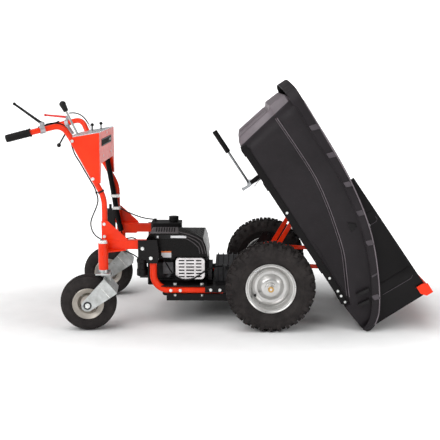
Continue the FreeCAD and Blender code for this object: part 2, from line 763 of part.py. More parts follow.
def cylinder_head():
    cover = box(-285, -268, -150, 70, 186, 240)
    cover = cover.makeFillet(6, [edge for edge in cover.Edges if abs(edge.tangentAt(0).x) > 0.9])
    plug = rod(V(-268, 20, 222), V(-256, 20, 222), 8)
    return join([cover, plug])


def carburettor():
    body = box(-498, -448, -160, -115, 218, 276)
    bowl = rod(V(-473, -138, 200), V(-473, -138, 218), 17)
    return join([body, bowl])


def oil_drain():
    """Drain tube with its cap behind the engine's foot."""
    tube = rod(V(-530, -100, 206), V(-572, -100, 206), 9)
    tail = rod(V(-570, -100, 205), V(-592, -100, 200), 12)
    return join([tube, tail])


def muffler():
    return box(-424, -310, -166, -115, 212, 296)


def muffler_guard():
    """Bright pressed guard with rows of louvre slots."""
    shell = box(-435, -300, -202, -164, 204, 304)
    shell = shell.makeFillet(18, [edge for edge in shell.Edges if abs(edge.tangentAt(0).y) > 0.9])
    inside = box(-432, -303, -199, -160, 207, 301)
    inside = inside.makeFillet(15, [edge for edge in inside.Edges if abs(edge.tangentAt(0).y) > 0.9])
    guard = shell.cut(inside)
    rows = 6
    for row in range(rows):
        z = 216 + row * 15.2
        for x0, x1 in ((-420, -394), (-386, -349), (-341, -315)):
            guard = guard.cut(box(x0, x1, -205, -190, z - 3, z + 3))
    return guard


def crankshaft():
    return rod(V(CRANK_X, 0, 110), V(CRANK_X, 0, 401), SHAFT_R)


def flywheel():
    hub = pipe(V(CRANK_X, 0, 345), V(CRANK_X, 0, 395), 24, SHAFT_R)
    rim = pipe(V(CRANK_X, 0, 365), V(CRANK_X, 0, 385), 30, SHAFT_R)
    blades = []
    for index in range(8):
        fin = box(14, 30, -1.5, 1.5, 385, 398)
        fin.rotate(ORIGIN, Z, 45 * index)
        fin.translate(V(CRANK_X, 0, 0))
        blades.append(fin)
    return join([hub, rim] + blades)


def pulley(x, radius):
    """V-groove pulley on a vertical shaft."""
    profile = [(SHAFT_R, -9), (radius + 6, -9), (radius, -3), (radius, 3), (radius + 6, 9),
               (SHAFT_R, 9)]
    return revolved(profile, V(x, 0, PULLEY_Z), Z)


def drive_belt():
    """Belt round both pulleys: the outline of two circles and their outer tangents."""
    gap = 0.4
    solids = []
    for extra, low, high in ((gap + 6, -2.4, 2.4), (gap, -3, 3)):
        small = rod(V(CRANK_X, 0, PULLEY_Z + low), V(CRANK_X, 0, PULLEY_Z + high),
                    ENGINE_PULLEY_R + extra)
        large = rod(V(INPUT_X, 0, PULLEY_Z + low), V(INPUT_X, 0, PULLEY_Z + high),
                    INPUT_PULLEY_R + extra)
        spacing = INPUT_X - CRANK_X
        lean = math.asin((INPUT_PULLEY_R - ENGINE_PULLEY_R) / spacing)
        r0 = ENGINE_PULLEY_R + extra
        r1 = INPUT_PULLEY_R + extra
        side = V(-math.sin(lean), math.cos(lean), 0)
        corners = [(CRANK_X + side.x * r0, side.y * r0), (INPUT_X + side.x * r1, side.y * r1),
                   (INPUT_X + side.x * r1, -side.y * r1), (CRANK_X + side.x * r0, -side.y * r0)]
        middle = plate_z(corners, PULLEY_Z + low, PULLEY_Z + high)
        solids.append(join([small, large, middle]))
    return solids[0].cut(solids[1])


def input_shaft():
    return rod(V(INPUT_X, 0, 110), V(INPUT_X, 0, 205), SHAFT_R)


def transaxle():
    """Gear case with cooling ribs and the final-drive tube round the half shafts."""
    deck_top = DECK_Z + DECK_T
    case = box(-252, -45, -150, 110, deck_top, 258)
    ribs = [box(x, x + 5, -154, 114, deck_top, 266) for x in range(-244, -60, 24)]
    drive = rod(V(0, -92, AXLE_Z), V(0, 92, AXLE_Z), 44)
    neck = box(-46, -20, -80, 80, 186, 232)
    housing = join([case, drive, neck] + ribs)
    bore = SHAFT_R + RUNNING_GAP
    holes = [rod(V(0, -100, AXLE_Z), V(0, 100, AXLE_Z), bore),
             rod(V(INPUT_X, 0, 170), V(INPUT_X, 0, 206), bore)]
    return drill(housing, holes)


def drive_arm():
    """Small arm and bracket on the gear case that the drive cable pulls."""
    bracket = box(-215, -195, -190, -154, 262, 268)
    post = box(-210, -200, -158, -150, 240, 268)
    return join([bracket, post])


# ---------------------------------------------------------------- bed, drawn level

RIM_LINE = [(-160, 344), (134, 338), (388, 326), (612, 283), (795, 211), (950, 123), (1003, 62)]
SKIRT_LINE = [(-160, 298), (100, 291), (391, 284), (612, 240), (774, 179), (881, 122),
              (941, 80), (968, 45)]
LEDGE_LINE = [(-160, 197), (196, 206), (305, 202), (425, 183), (542, 156), (639, 128),
              (729, 87), (815, 46), (858, 32)]
TUB_T = 6.0
DEEP = 450.0


def curve(points, lift=0.0):
    spline = Part.BSplineCurve()
    spline.interpolate([V(u, -DEEP, v + lift) for u, v in points])
    return spline.toShape()


def chain(points):
    corners = [V(u, -DEEP, v) for u, v in points]
    return [Part.LineSegment(a, b).toShape() for a, b in zip(corners, corners[1:])]


def slab(edges):
    """Everything inside a side-view outline, across the whole width."""
    wire = Part.Wire(Part.__sortEdges__(edges))
    return Part.Face(wire).extrude(Y * 2 * DEEP)


def tapered(half_low, half_high, inset):
    """Tub-sized block that widens upwards; inset moves all its walls inwards."""
    low = rounded_plan(0 + inset, 1060 if inset else 1008, half_low - inset, 55 - inset, 0)
    high = rounded_plan(-68 + inset, 1060 if inset else 1008, half_high - inset, 75 - inset, 360)
    return Part.makeLoft([low, high], True, True)


def rim_outline(inset):
    """Plan of the rim: bowed at the rear and drawn in at the front."""
    rear = -96 + inset
    bow = -130 + inset
    half = 400 - inset
    nose = 1008 - inset
    corner = 60 - inset
    front_half = 372 - inset
    k = corner * math.sqrt(0.5)
    right = [V(rear + corner, -half, 0), V(600, -half, 0), V(nose - 25, -front_half, 0),
             V(nose, -front_half + 25, 0)]
    left = [V(p.x, -p.y, 0) for p in reversed(right)]
    edges = [Part.LineSegment(a, b).toShape() for a, b in zip(right + left, (right + left)[1:])]
    rear_left = V(rear, half - corner, 0)
    rear_right = V(rear, -half + corner, 0)
    edges.append(Part.Arc(left[-1], V(rear + corner - k, half - corner + k, 0), rear_left).toShape())
    edges.append(Part.Arc(rear_left, V(bow, 0, 0), rear_right).toShape())
    edges.append(Part.Arc(rear_right, V(rear + corner - k, -half + corner - k, 0), right[0]).toShape())
    return Part.Face(Part.Wire(Part.__sortEdges__(edges))).extrude(Z * 400)


def tub():
    """Moulded tub: stepped side walls, sloping rear wall, low front lip and a rolled rim."""
    below = slab([curve(LEDGE_LINE)] + chain([(858, 32), (862, 3), (-160, 3), (-160, 197)]))
    above = slab([curve(RIM_LINE)] + chain([(1003, 62), (1008, 39), (1002, 27), (985, 16), (862, 3),
                                           (858, 32)])
                 + [curve(LEDGE_LINE)] + chain([(-160, 197), (-160, 344)]))
    outer = join([tapered(300, 367, 0).common(below), tapered(343, 386, 0).common(above)])
    t = TUB_T
    low_inside = slab([curve(LEDGE_LINE, t)] + chain([(858, 32 + t), (862, 3 + t), (-160, 3 + t),
                                                      (-160, 197 + t)]))
    high_inside = slab([curve(LEDGE_LINE, t)] + chain([(-160, 197 + t), (-160, 420), (1040, 420),
                                                       (1040, 42), (984, 42), (950, 22),
                                                       (862, 3 + t), (858, 32 + t)]))
    cavity_low = tapered(300, 367, t).common(low_inside)
    cavity_high = tapered(343, 386, t).common(high_inside)
    walls = drill(outer, [cavity_low, cavity_high])
    band = slab([curve(RIM_LINE), curve(SKIRT_LINE)]
                + chain([(1003, 62), (1008, 39), (1002, 27), (978, 16), (968, 45)])
                + chain([(-160, 298), (-160, 344)]))
    lid = slab([curve(RIM_LINE), curve(RIM_LINE, -5)] + chain([(1003, 62), (1003, 57)])
               + chain([(-160, 339), (-160, 344)]))
    skirt = rim_outline(0).cut(rim_outline(5)).common(band)
    flat = rim_outline(0).common(lid)
    flat = drill(flat, [cavity_high])
    return join([walls, skirt, flat])


def bed_rail():
    """Steel angle along the tub's lower edge."""
    angle = box(0, RAIL_LENGTH, -RAIL_Y, -RAIL_Y + 3, -0.5, 29)
    foot = box(0, RAIL_LENGTH, -RAIL_Y, -RAIL_Y + 32, -0.5, 2.5)
    return join([angle, foot])


def bed_cross_bars():
    """Flat bars across the rails that carry the hinge struts and the latch."""
    bars = []
    for u in (30, 445, 660, 830):
        bars.append(box(u - 18, u + 18, -300, 300, -4.5, -0.5))
    latch_bar = box(LATCH_U - 18, LATCH_U + 18, -300, 300, -4.5, -0.5)
    return bars + [join([latch_bar, latch_bracket()])]


def hinge_tube():
    centre = V(PIVOT_U, 0, -BED_RISE)
    return pipe(centre - Y * 230, centre + Y * 230, 21, 15 + RUNNING_GAP)


def hinge_shaft():
    centre = V(PIVOT_X, 0, PIVOT_Z)
    out = FRAME_Y + FRAME_TUBE_R + 10
    return rod(centre - Y * out, centre + Y * out, 15)


def strut(u_top, y):
    """Flat bar from the hinge tube up to a cross bar."""
    foot = V(PIVOT_U, y - 4, -BED_RISE)
    head = V(u_top, y - 4, -4.5)
    along = (head - foot).normalize()
    side = V(along.z, 0, -along.x) * 11
    foot = foot + along * 16
    corners = [foot - side, foot + side, V(u_top + 11, y - 4, -4.5), V(u_top - 11, y - 4, -4.5)]
    bar = Part.Face(Part.makePolygon(corners + corners[:1])).extrude(Y * 8)
    return bar.cut(rod(V(PIVOT_U, y - 10, -BED_RISE), V(PIVOT_U, y + 10, -BED_RISE), 21))


STRUTS = [(445, -100), (445, 100), (660, -218), (660, 218)]


def side_panel():
    """Steel panel that raises the tub's side, with pressed stakes and the gate's guides."""
    outline = [(380, 345), (1001, 358), (1001, 70), (940, 92), (800, 170), (612, 243), (500, 272),
               (380, 290)]
    face = plate_y(outline, -PANEL_Y, -PANEL_Y + PANEL_T)
    top = plate_y([(380, 343), (975, 355.5), (975, 357.5), (380, 345)], -PANEL_Y, -PANEL_Y + 14)
    stakes = []
    for u0, u1, v0, v1 in ((852, 895, 150, 342), (548, 577, 262, 338)):
        stakes.append(box(u0, u1, -PANEL_Y - 4, -PANEL_Y, v0, v1))
    front_guide = box(999, 1001, -PANEL_Y, -PANEL_Y + 20, 70, 352)
    rear_guide = box(984, 986, -PANEL_Y, -PANEL_Y + 18, 78, 340)
    return join([face, top, front_guide, rear_guide] + stakes)


def gate():
    """Shallow steel pan that drops between the guides."""
    half = PANEL_Y - PANEL_T - 1.5
    sheet = box(991.5, 993.5, -half, half, 42.3, 360)
    left_fold = box(988, 997, half - 2, half, 42.3, 356)
    foot = box(988, 997, -half, half, 42.3, 44.3)
    ribs = [box(993.5, 996.5, y - 14, y + 14, 70, 330) for y in (-200, 0, 200)]
    return join([sheet, left_fold, mirrored(left_fold), foot] + ribs)


def gate_rail():
    """Red top rail of the gate; its hooked ends lap the side panels."""
    bar = box(988, 1008, -350, 350, 360, 371)
    apron = box(1003, 1008, -345, 345, 338, 360)
    hook = plate_y([(950, 319), (950, 350), (962, 371), (1008, 371), (1008, 338), (985, 319)],
                   -350, -345.5)
    return join([bar, apron, hook, mirrored(hook)])


LATCH_U = 211.0
LATCH_V = -62.0
LATCH_Y = 185.0


def latch_bracket():
    """Cheeks below a cross bar that hold the latch's pin."""
    cheek = plate_y([(196, -4.5), (226, -4.5), (220, -72), (202, -72)], LATCH_Y + 5, LATCH_Y + 8)
    other = plate_y([(196, -4.5), (226, -4.5), (220, -72), (202, -72)], LATCH_Y - 8, LATCH_Y - 5)
    pin = rod(V(LATCH_U, LATCH_Y - 8, LATCH_V), V(LATCH_U, LATCH_Y + 8, LATCH_V), 4)
    return join([cheek, other, pin])


def latch_handle():
    """Bright rod with a hook plate at its pivot end."""
    arm = rod(V(-100, LATCH_Y, -82), V(205, LATCH_Y, -80), 6)
    hook = plate_y([(203, -54), (221, -54), (226, -80), (226, -126), (209.5, -126), (209.5, -118),
                    (213, -114), (213, -92), (200, -88), (190, -76)], LATCH_Y - 4, LATCH_Y + 4)
    hole = rod(V(LATCH_U, LATCH_Y - 9, LATCH_V), V(LATCH_U, LATCH_Y + 9, LATCH_V), 4 + RUNNING_GAP)
    return join([arm, hook]).cut(hole)


def latch_grip():
    start = V(-104, LATCH_Y, -82)
    end = V(18, LATCH_Y, -81.2)
    return rod(start, end, 13).cut(rod(V(-100, LATCH_Y, -82), V(205, LATCH_Y, -80), 6))


def tub_bolts():
    bolts = []
    for u in (357, 713, 784, 811, 845):
        bolts.append(bolt(V(u, -RAIL_Y, 15), -Y, 6.5, 4))
    for u, v in ((594, 290), (614, 279)):
        bolts.append(bolt(V(u, -PANEL_Y, v), -Y, 6, 4))
    for u, v, wall in ((520, 284, 370.0), (905, 128, 351.4)):
        bolts.append(rod(V(u, -PANEL_Y, v), V(u, -wall, v), 5))
    return bolts + [mirrored(one) for one in bolts]


# ---------------------------------------------------------------- cables

BRAKE_LOOP = [(-791, -222, 608), (-783, -226, 584), (-789, -236, 552), (-803, -250, 519),
              (-816, -260, 484), (-813, -260, 450), (-802, -246, 422), (-789, -222, 403),
              (-770, -201, 388), (-742, -190, 370), (-711, -184, 352), (-680, -174, 335),
              (-651, -156, 318), (-627, -130, 298), (-612, -102, 274), (-602, -80, 248),
              (-578, -68, 228)]
THROTTLE_ROUTE = [(-736, 190, 475), (-712, 168, 467), (-684, 148, 458), (-654, 132, 449),
                  (-623, 120, 441), (-592, 112, 436), (-560, 106, 434)]
BRAKE_UPPER_ROUTE = [(-1004, -270, 924), (-972, -258, 930), (-940, -238, 926), (-917, -214, 904),
                     (-908, -201, 870), (-905, -198, 832), (-893, -198, 788), (-868, -203, 750),
                     (-842, -211, 706), (-818, -213, 664), (-799, -218, 632),
                     (-791, -222, 608)]
CLUTCH_ROUTE = [(-1004, 292, 950), (-975, 284, 952), (-942, 266, 944), (-912, 240, 922),
                (-892, 214, 896)]
DRIVE_ROUTE = [(-734.9, 175.9, 361.6), (-728.5, 169.9, 339.8), (-712, 138, 330), (-690, 98, 340),
               (-666, 50, 352), (-646, 0, 358), (-628, -56, 359), (-612, -112, 356),
               (-603, -162, 351), (-572, -205, 345), (-525, -211, 339), (-499, -211, 316),
               (-478, -211, 281), (-456, -211, 242), (-430, -211, 212), (-392, -211, 198),
               (-354, -211, 205), (-322, -211, 226), (-290, -211, 250), (-252, -208, 265),
               (-215, -190, 265)]


def gland(start, towards, length, radius=5.5):
    """Short ferrule on the line from start past the cable's end."""
    a = V(*start)
    b = V(*towards)
    return rod(b, b + (b - a).normalize() * length, radius)



def cable_ties():
    """Double tie round the right post and its cable, and the throttle clip on the tank."""
    lean = V(-0.427, 0, 0.904)
    middle = V(-771.3, -POST_Y, 617)
    tube_ring = rod(middle - lean * 4, middle + lean * 4, 15.2)
    cable_end = V(*BRAKE_LOOP[0])
    along = (V(*BRAKE_UPPER_ROUTE[-2]) - cable_end).normalize()
    cable_ring = rod(cable_end, cable_end + along * 8, 5)
    tie = join([tube_ring, cable_ring])
    tie = tie.cut(rod(middle - lean * 20, middle + lean * 20, 13.2))
    tie = tie.cut(rod(cable_end - along, cable_end + along * 20, 3.2))
    clip = join([gland(THROTTLE_ROUTE[-2], THROTTLE_ROUTE[-1], 12),
                 box(-557, -551, 99, 110, 426, 430)])
    return [tie, clip]


# ---------------------------------------------------------------- write the parts

os.makedirs("parts", exist_ok=True)


def write_both(name, shapes):
    """One node with the right-hand solids and their mirror images."""
    write(name, Part.makeCompound(shapes + [mirrored(one) for one in shapes]))


# fixed frame
write_both("frame_tubes", [frame_tube()])
write_both("axle_plates", [join([axle_plate()] + stop_pins())])
write("axle_and_kingpin_bearings",
      Part.makeCompound([axle_bearing(), mirrored(axle_bearing())] + caster_bushes()))
write_both("side_brackets", [side_bracket()])
write_both("caster_arms", [caster_arm()])
write_both("gussets", [gusset()])
write("deck_plates", Part.makeCompound([join([engine_deck(), latch_striker()]), transaxle_plate()]))
write("belt_cover", belt_cover())
write("frame_bolts", Part.makeCompound(frame_bolts()))
write("hinge_shaft", hinge_shaft())

# wheels
write_pair("drive_tyre", drive_tyre())
write_pair("drive_rim", drive_rim())
write_pair("half_shaft", Part.makeCompound([half_shaft(), hub_nut()]))
write_casters("caster_tyre", caster_tyre())
write_casters("caster_rim", caster_rim())
write_casters("caster_fork", Part.makeCompound([caster_fork(), caster_axle_bolt(),
                                                kingpin_washers()]))

# handlebars and console
write_pair("handlebar", handlebar())
write_both("handle_grips", [grip()])
write("console_housing", Part.makeCompound([console_housing(), console_plate()]
                                           + console_bolts()))
write("console_top", join([console_top(), shift_bracket(), key_bracket()]))
write("shift_lever", Part.makeCompound([shift_lever(), shift_knob()]))
write("throttle_key", key_lever(-860))
write("choke_key", key_lever(-817))
left_clamp = join([mirrored(lever_clamp()), lock_housing()]).cut(handle_core(1))
write("lever_clamps", Part.makeCompound([lever_clamp().cut(handle_core(-1)), left_clamp]))
write("brake_lever", hand_lever(37, 145))
write("clutch_lever", mirrored(hand_lever(5, 118)))
write("lock_lever", lock_lever())
write("cable_conduit", conduit())
write("cable_clamps", Part.makeCompound(conduit_clamps() + cable_ties()))
write("relay_box", relay_box())

# engine and drive
write("engine_block", Part.makeCompound([engine_block(), cylinder_head(), oil_drain()]))
write("blower_shroud", blower_shroud())
write("fuel_tank", fuel_tank())
write("fuel_cap", fuel_cap())
write("carburettor", carburettor())
write("muffler", Part.makeCompound([muffler(), muffler_guard()]))
write("transaxle", Part.makeCompound([transaxle(), drive_arm()]))
write("crankshaft", Part.makeCompound([crankshaft(), flywheel(),
                                       pulley(CRANK_X, ENGINE_PULLEY_R)]))
write("drive_belt", drive_belt())
write("input_shaft", Part.makeCompound([input_shaft(), pulley(INPUT_X, INPUT_PULLEY_R)]))

# bed, gate and latch
write("tub", on_bed(tub()))
write("bed_rails", on_bed(Part.makeCompound([bed_rail(), mirrored(bed_rail())])))
write("bed_cross_bars", on_bed(Part.makeCompound(bed_cross_bars())))
write("hinge_frame", on_bed(join([hinge_tube()] + [strut(u, y) for u, y in STRUTS])))
write_pair("side_panel", on_bed(side_panel()))
write("tub_bolts", on_bed(Part.makeCompound(tub_bolts())))
write("front_gate", on_bed(gate()))
write("gate_rail", on_bed(gate_rail()))
write("latch_handle", on_bed(Part.makeCompound([latch_handle(), latch_grip()])))

# cables
held = [cable("brake cable, upper part", BRAKE_UPPER_ROUTE), cable("clutch cable", CLUTCH_ROUTE),
        cable("drive cable", DRIVE_ROUTE)]
write("control_cables", Part.makeCompound(held))
write("brake_cable_loop", cable("brake_cable_loop", BRAKE_LOOP))
write("throttle_cable", cable("throttle_cable", THROTTLE_ROUTE))
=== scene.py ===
import json
import math

import bmesh
import bpy
from mathutils import Matrix, Vector

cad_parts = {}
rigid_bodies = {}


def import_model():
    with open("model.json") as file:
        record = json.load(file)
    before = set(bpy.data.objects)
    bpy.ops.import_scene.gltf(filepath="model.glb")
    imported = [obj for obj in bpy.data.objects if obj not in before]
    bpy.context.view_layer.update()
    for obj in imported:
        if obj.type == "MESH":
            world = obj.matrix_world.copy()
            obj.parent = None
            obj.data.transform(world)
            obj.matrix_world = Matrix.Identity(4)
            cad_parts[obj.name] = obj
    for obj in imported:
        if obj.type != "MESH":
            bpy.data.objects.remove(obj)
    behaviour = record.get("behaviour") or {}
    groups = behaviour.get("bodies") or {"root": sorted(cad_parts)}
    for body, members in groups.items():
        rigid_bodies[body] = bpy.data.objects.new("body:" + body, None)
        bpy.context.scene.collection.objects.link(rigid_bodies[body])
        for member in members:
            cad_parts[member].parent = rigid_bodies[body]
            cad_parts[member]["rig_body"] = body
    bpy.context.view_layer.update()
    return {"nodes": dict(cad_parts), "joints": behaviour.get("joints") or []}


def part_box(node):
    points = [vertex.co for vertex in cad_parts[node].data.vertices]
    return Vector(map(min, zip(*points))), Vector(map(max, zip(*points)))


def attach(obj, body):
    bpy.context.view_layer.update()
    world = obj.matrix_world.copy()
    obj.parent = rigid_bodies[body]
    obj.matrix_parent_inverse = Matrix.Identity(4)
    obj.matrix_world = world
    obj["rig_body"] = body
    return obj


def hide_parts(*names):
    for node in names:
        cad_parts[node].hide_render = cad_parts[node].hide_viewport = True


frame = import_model()
NODES = frame["nodes"]
BODY_OF = {node: obj["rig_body"] for node, obj in NODES.items()}
JOINTS = {joint["name"]: joint for joint in frame["joints"]}
scene = bpy.context.scene

# Places come from the joints: x from the drive axle, and the bed's own frame from its hinge.
AXLE_X = JOINTS["right_wheel_spin"]["pos_m"][0]
PIVOT = Vector(JOINTS["bed_tip"]["pos_m"])
TILT = math.radians(56.7)
PIVOT_U = 0.533
BED_RISE = 0.180
BED = (Matrix.Translation(PIVOT) @ Matrix.Rotation(TILT, 4, "Y")
       @ Matrix.Translation((-PIVOT_U, 0, BED_RISE)))


def at(x, y, z):
    """Millimetres from the drive axle to a point in the row frame."""
    return Vector((AXLE_X + x / 1000, y / 1000, z / 1000))


# ---------------- camera and light

SENSOR_WIDTH = 36
LENS = 69.74
CAMERA_PLACE = (-170, -4065, 1137)
CAMERA_PITCH = 80.4
CAMERA_TURN = 0.874

camera_data = bpy.data.cameras.new("camera")
camera_data.sensor_width = SENSOR_WIDTH
camera_data.lens = LENS
camera = bpy.data.objects.new("camera", camera_data)
camera.location = at(*CAMERA_PLACE)
camera.rotation_euler = (math.radians(CAMERA_PITCH), 0, math.radians(CAMERA_TURN))
scene.collection.objects.link(camera)
scene.camera = camera

BOX_SIZE = 1.2
WORLD_STRENGTH = 0.24


def area_light(name, place, target, power):
    data = bpy.data.lights.new(name, "AREA")
    data.shape = "DISK"
    data.size = BOX_SIZE
    data.energy = power
    light = bpy.data.objects.new(name, data)
    light.location = place
    light.rotation_euler = (Vector(target) - Vector(place)).to_track_quat("-Z", "Y").to_euler()
    scene.collection.objects.link(light)


def sun(name, direction, strength, spread_degrees):
    data = bpy.data.lights.new(name, "SUN")
    data.energy = strength
    data.angle = math.radians(spread_degrees)
    light = bpy.data.objects.new(name, data)
    light.rotation_euler = Vector(direction).to_track_quat("-Z", "Y").to_euler()
    scene.collection.objects.link(light)


sun("overhead", (0.3, 0.1, -1.0), 1.35, 50)
sun("key", (0.5, 0.8, -0.6), 1.1, 35)
sun("side", (-0.85, 0.3, -0.45), 0.4, 50)
area_light("left_box", (-3.0, -1.6, 1.9), (-0.3, 0, 0.5), 26)
area_light("right_box", (2.9, -1.9, 1.6), (0.3, 0, 0.5), 22)

world = bpy.data.worlds.new("studio")
world.use_nodes = True
world.node_tree.nodes["Background"].inputs["Color"].default_value = (1, 1, 1, 1)
world.node_tree.nodes["Background"].inputs["Strength"].default_value = WORLD_STRENGTH
scene.world = world
scene.view_settings.view_transform = "Standard"


# ---------------- materials

def srgb(red, green, blue):
    """Eight-bit colour as linear values."""
    values = []
    for level in (red, green, blue):
        share = level / 255
        values.append(share / 12.92 if share <= 0.04045 else ((share + 0.055) / 1.055) ** 2.4)
    return tuple(values) + (1.0,)


def noise(tree, coords, scale, detail, rough):
    node = tree.nodes.new("ShaderNodeTexNoise")
    node.inputs["Scale"].default_value = scale
    node.inputs["Detail"].default_value = detail
    node.inputs["Roughness"].default_value = rough
    tree.links.new(coords, node.inputs["Vector"])
    return node.outputs["Fac"]


def spread(tree, value, low, high, start=0.3, end=0.7):
    """A value between start and end, spread out between low and high."""
    node = tree.nodes.new("ShaderNodeMapRange")
    node.inputs["From Min"].default_value = start
    node.inputs["From Max"].default_value = end
    node.inputs["To Min"].default_value = low
    node.inputs["To Max"].default_value = high
    tree.links.new(value, node.inputs["Value"])
    return node.outputs["Result"]


def finish_material(name, dark, light, rough, metallic=0.0, coat=0.0, grain=None, blotch=9.0,
                    scuff=None, specular=0.5):
    """A procedural finish: mottled colour, uneven roughness, grain in the bump, faint scuffs.
    dark and light are eight-bit colours; rough is (low, high); grain is (scale, depth in metres,
    strength); scuff is (colour, amount)."""
    material = bpy.data.materials.new(name)
    material.use_nodes = True
    tree = material.node_tree
    shader = tree.nodes["Principled BSDF"]
    coords = tree.nodes.new("ShaderNodeTexCoord").outputs["Object"]
    ramp = tree.nodes.new("ShaderNodeValToRGB")
    ramp.color_ramp.elements[0].position = 0.32
    ramp.color_ramp.elements[0].color = srgb(*dark)
    ramp.color_ramp.elements[1].position = 0.7
    ramp.color_ramp.elements[1].color = srgb(*light)
    tree.links.new(noise(tree, coords, blotch, 5, 0.6), ramp.inputs["Fac"])
    colour = ramp.outputs["Color"]
    if scuff:
        mix = tree.nodes.new("ShaderNodeMix")
        mix.data_type = "RGBA"
        mix.inputs["B"].default_value = srgb(*scuff[0])
        fine = noise(tree, coords, 130, 8, 0.75)
        tree.links.new(spread(tree, fine, 0.0, scuff[1], 0.58, 0.74), mix.inputs["Factor"])
        tree.links.new(colour, mix.inputs["A"])
        colour = mix.outputs["Result"]
    tree.links.new(colour, shader.inputs["Base Color"])
    uneven = noise(tree, coords, blotch * 5, 6, 0.65)
    tree.links.new(spread(tree, uneven, rough[0], rough[1]), shader.inputs["Roughness"])
    shader.inputs["Metallic"].default_value = metallic
    shader.inputs["Specular IOR Level"].default_value = specular
    shader.inputs["Coat Weight"].default_value = coat
    shader.inputs["Coat Roughness"].default_value = 0.08
    if grain:
        bump = tree.nodes.new("ShaderNodeBump")
        bump.inputs["Distance"].default_value = grain[1]
        bump.inputs["Strength"].default_value = grain[2]
        tree.links.new(noise(tree, coords, grain[0], 3, 0.5), bump.inputs["Height"])
        tree.links.new(bump.outputs["Normal"], shader.inputs["Normal"])
    return material


